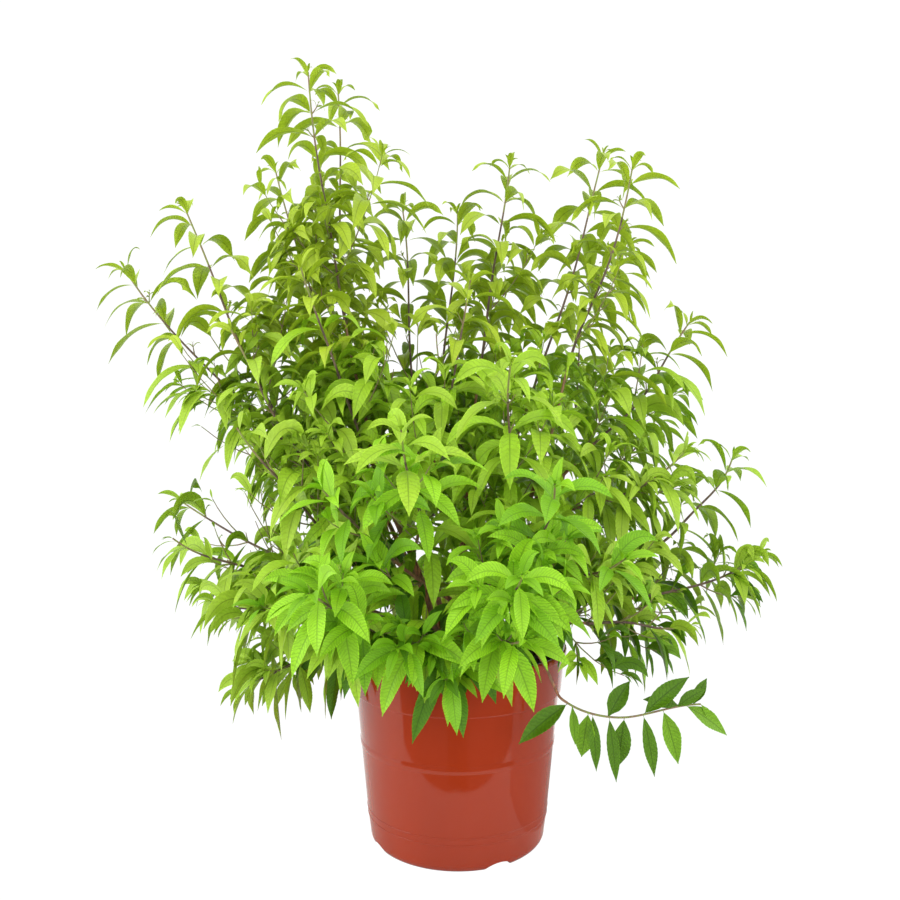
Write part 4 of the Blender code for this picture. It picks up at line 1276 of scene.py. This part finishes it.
def grow_limbs():
    """The stems, boughs and shoots by name."""
    limbs = {}
    for name, (root, tip, radius) in STEMS.items():
        if isinstance(root[0], str):
            parent, share = root
            limbs[name] = forked_limb(
                limbs[parent], share, tip, radius, STEM_TIP_RADIUS, STEM_LIFT, STEM_RINGS
            )
        else:
            limbs[name] = soil_stem(root, tip, radius)
    places = [Vector(place) for place in DROOPING_ROUTE]
    limbs["bough_drooping"] = Limb(
        lambda s: through(places, s), DROOPING_RADIUS, DROOPING_TIP_RADIUS, STEM_RINGS
    )
    shoots = {}
    for word, (parent, share, tip, lift) in SHOOTS.items():
        sway = random.Random(f"foliage_{word} sway")
        shoots[f"foliage_{word}"] = forked_limb(
            limbs[parent], share, tip, SHOOT_RADIUS, SHOOT_TIP_RADIUS, lift, SHOOT_RINGS, sway
        )
    return limbs, shoots


def make_plant():
    limbs, shoots = grow_limbs()
    make_bark(limbs, bark_material())
    leaf_materials = [
        leaf_material(f"leaf_{part}_{level}", (*colour, 1.0), *greens[3:])
        for part, greens in LEAF_GREENS.items()
        for level, colour in zip(("light", "middle", "deep"), greens)
    ]
    twig_materials = [twig_material(name, *colours) for name, colours in TWIG_COLOURS.items()]
    make_foliage(limbs, shoots, leaf_materials, twig_materials)


# Studio


# What the pot mirrors from the floor in front: the dark room, its darkest strip, and the right
# side. Each is a sheet's corners (x, y).
ROOM_CORNERS = (
    (-2.40, -1.10), (-0.276, -0.180), (-0.224, -0.158), (-0.140, -0.185), (0.0, -0.200),
    (0.140, -0.185), (0.224, -0.158), (0.276, -0.180), (2.40, -1.10), (2.40, -2.60), (-2.40, -2.60),
)
STAND_CORNERS = ((-0.030, -0.200), (0.030, -0.200), (0.55, -2.50), (-0.55, -2.50))
SIDE_CORNERS = (
    (0.224, -0.158), (2.40, -1.10), (2.40, 1.60), (0.030, 0.120), (0.098, 0.030), (0.100, -0.050),
    (0.150, -0.120),
)


# Lamps: where each hangs, what it faces, its size and its power.
LAMPS = {
    "key": ((-0.9, -1.4, 2.1), (0.0, 0.0, 0.35), (1.3, 1.3), 7.0),
    "side_left": ((-1.6, -0.5, 0.7), (0.0, 0.0, 0.25), (0.9, 1.6), 10.0),
    "side_right": ((1.6, -0.4, 0.7), (0.0, 0.0, 0.25), (0.9, 1.6), 5.0),
}
SKY_LIGHT = 1.36
SURROUND_RADIUS, SURROUND_GLOW = 8.0, 1.05
FLOOR_RADIUS, FLOOR_GREY = 6.0, 0.85


def make_camera():
    lens = bpy.data.cameras.new("camera")
    lens.sensor_width = SENSOR_MM
    lens.lens = FOCAL_PX / PICTURE_WIDTH_PX * SENSOR_MM
    middle = PICTURE_WIDTH_PX / 2
    lens.shift_y = (HORIZON_ROW_PX - middle) / PICTURE_WIDTH_PX
    across = (POT_AXIS_COLUMN_PX - middle) / FOCAL_PX * CAMERA_DISTANCE
    camera = add_object("camera", lens)
    camera.location = (-across, -CAMERA_DISTANCE, CAMERA_HEIGHT)
    camera.rotation_euler = (math.pi / 2, 0.0, 0.0)
    bpy.context.scene.camera = camera


def area_lamp(name, place, target, size, power):
    lamp = bpy.data.lights.new(name, "AREA")
    lamp.shape = "RECTANGLE"
    lamp.size, lamp.size_y = size
    lamp.energy = power
    obj = add_object(name, lamp)
    obj.location = place
    obj.rotation_euler = (Vector(target) - Vector(place)).to_track_quat("-Z", "Y").to_euler()


def matt_stage(obj, grey, glow=0.0):
    """Gives a piece of the studio a matt grey face that may glow white."""
    made = Nodes(obj.name, (grey, grey, grey, 1.0), 1.0)
    made.feed(made.shader, {"Specular IOR Level": 0.0, "Emission Strength": glow})
    made.feed(made.shader, {"Emission Color": (1.0, 1.0, 1.0, 1.0)})
    obj.data.materials.append(made.material)


def dark_card(name, corners, height, grey):
    """A dark sheet low over the floor that only shows mirrored in the pot."""
    mesh = bpy.data.meshes.new(name)
    mesh.from_pydata([(x, y, height) for x, y in corners], [], [tuple(range(len(corners)))])
    card = add_object(name, mesh)
    card.visible_camera = False
    card.visible_diffuse = False
    card.visible_shadow = False
    matt_stage(card, grey)


def white_surround():
    """A plain white surround that is seen behind the plant and lights nothing."""

    def build(shape):
        bmesh.ops.create_uvsphere(shape, u_segments=32, v_segments=16, radius=SURROUND_RADIUS)

    surround = built("surround", build)
    surround.visible_diffuse = False
    surround.visible_glossy = False
    surround.visible_shadow = False
    matt_stage(surround, 0.0, SURROUND_GLOW)


def pale_floor():
    """A floor that lights the plant from below and isn't seen itself."""

    def build(shape):
        bmesh.ops.create_circle(shape, cap_ends=True, segments=64, radius=FLOOR_RADIUS)

    floor = built("floor", build)
    floor.visible_camera = False
    matt_stage(floor, FLOOR_GREY)


def make_studio():
    scene = bpy.context.scene
    scene.view_settings.view_transform = "Standard"
    world = bpy.data.worlds.new("studio")
    scene.world = world
    world.use_nodes = True
    background = world.node_tree.nodes["Background"]
    background.inputs["Color"].default_value = (1.0, 1.0, 1.0, 1.0)
    background.inputs["Strength"].default_value = SKY_LIGHT
    for name, lamp in LAMPS.items():
        area_lamp(name, *lamp)
    white_surround()
    pale_floor()
    dark_card("mirrored_room", ROOM_CORNERS, 0.003, 0.10)
    dark_card("mirrored_stand", STAND_CORNERS, 0.004, 0.0)
    dark_card("mirrored_side", SIDE_CORNERS, 0.002, 0.45)


make_camera()
make_studio()
make_pot()
make_compost()
make_plant()
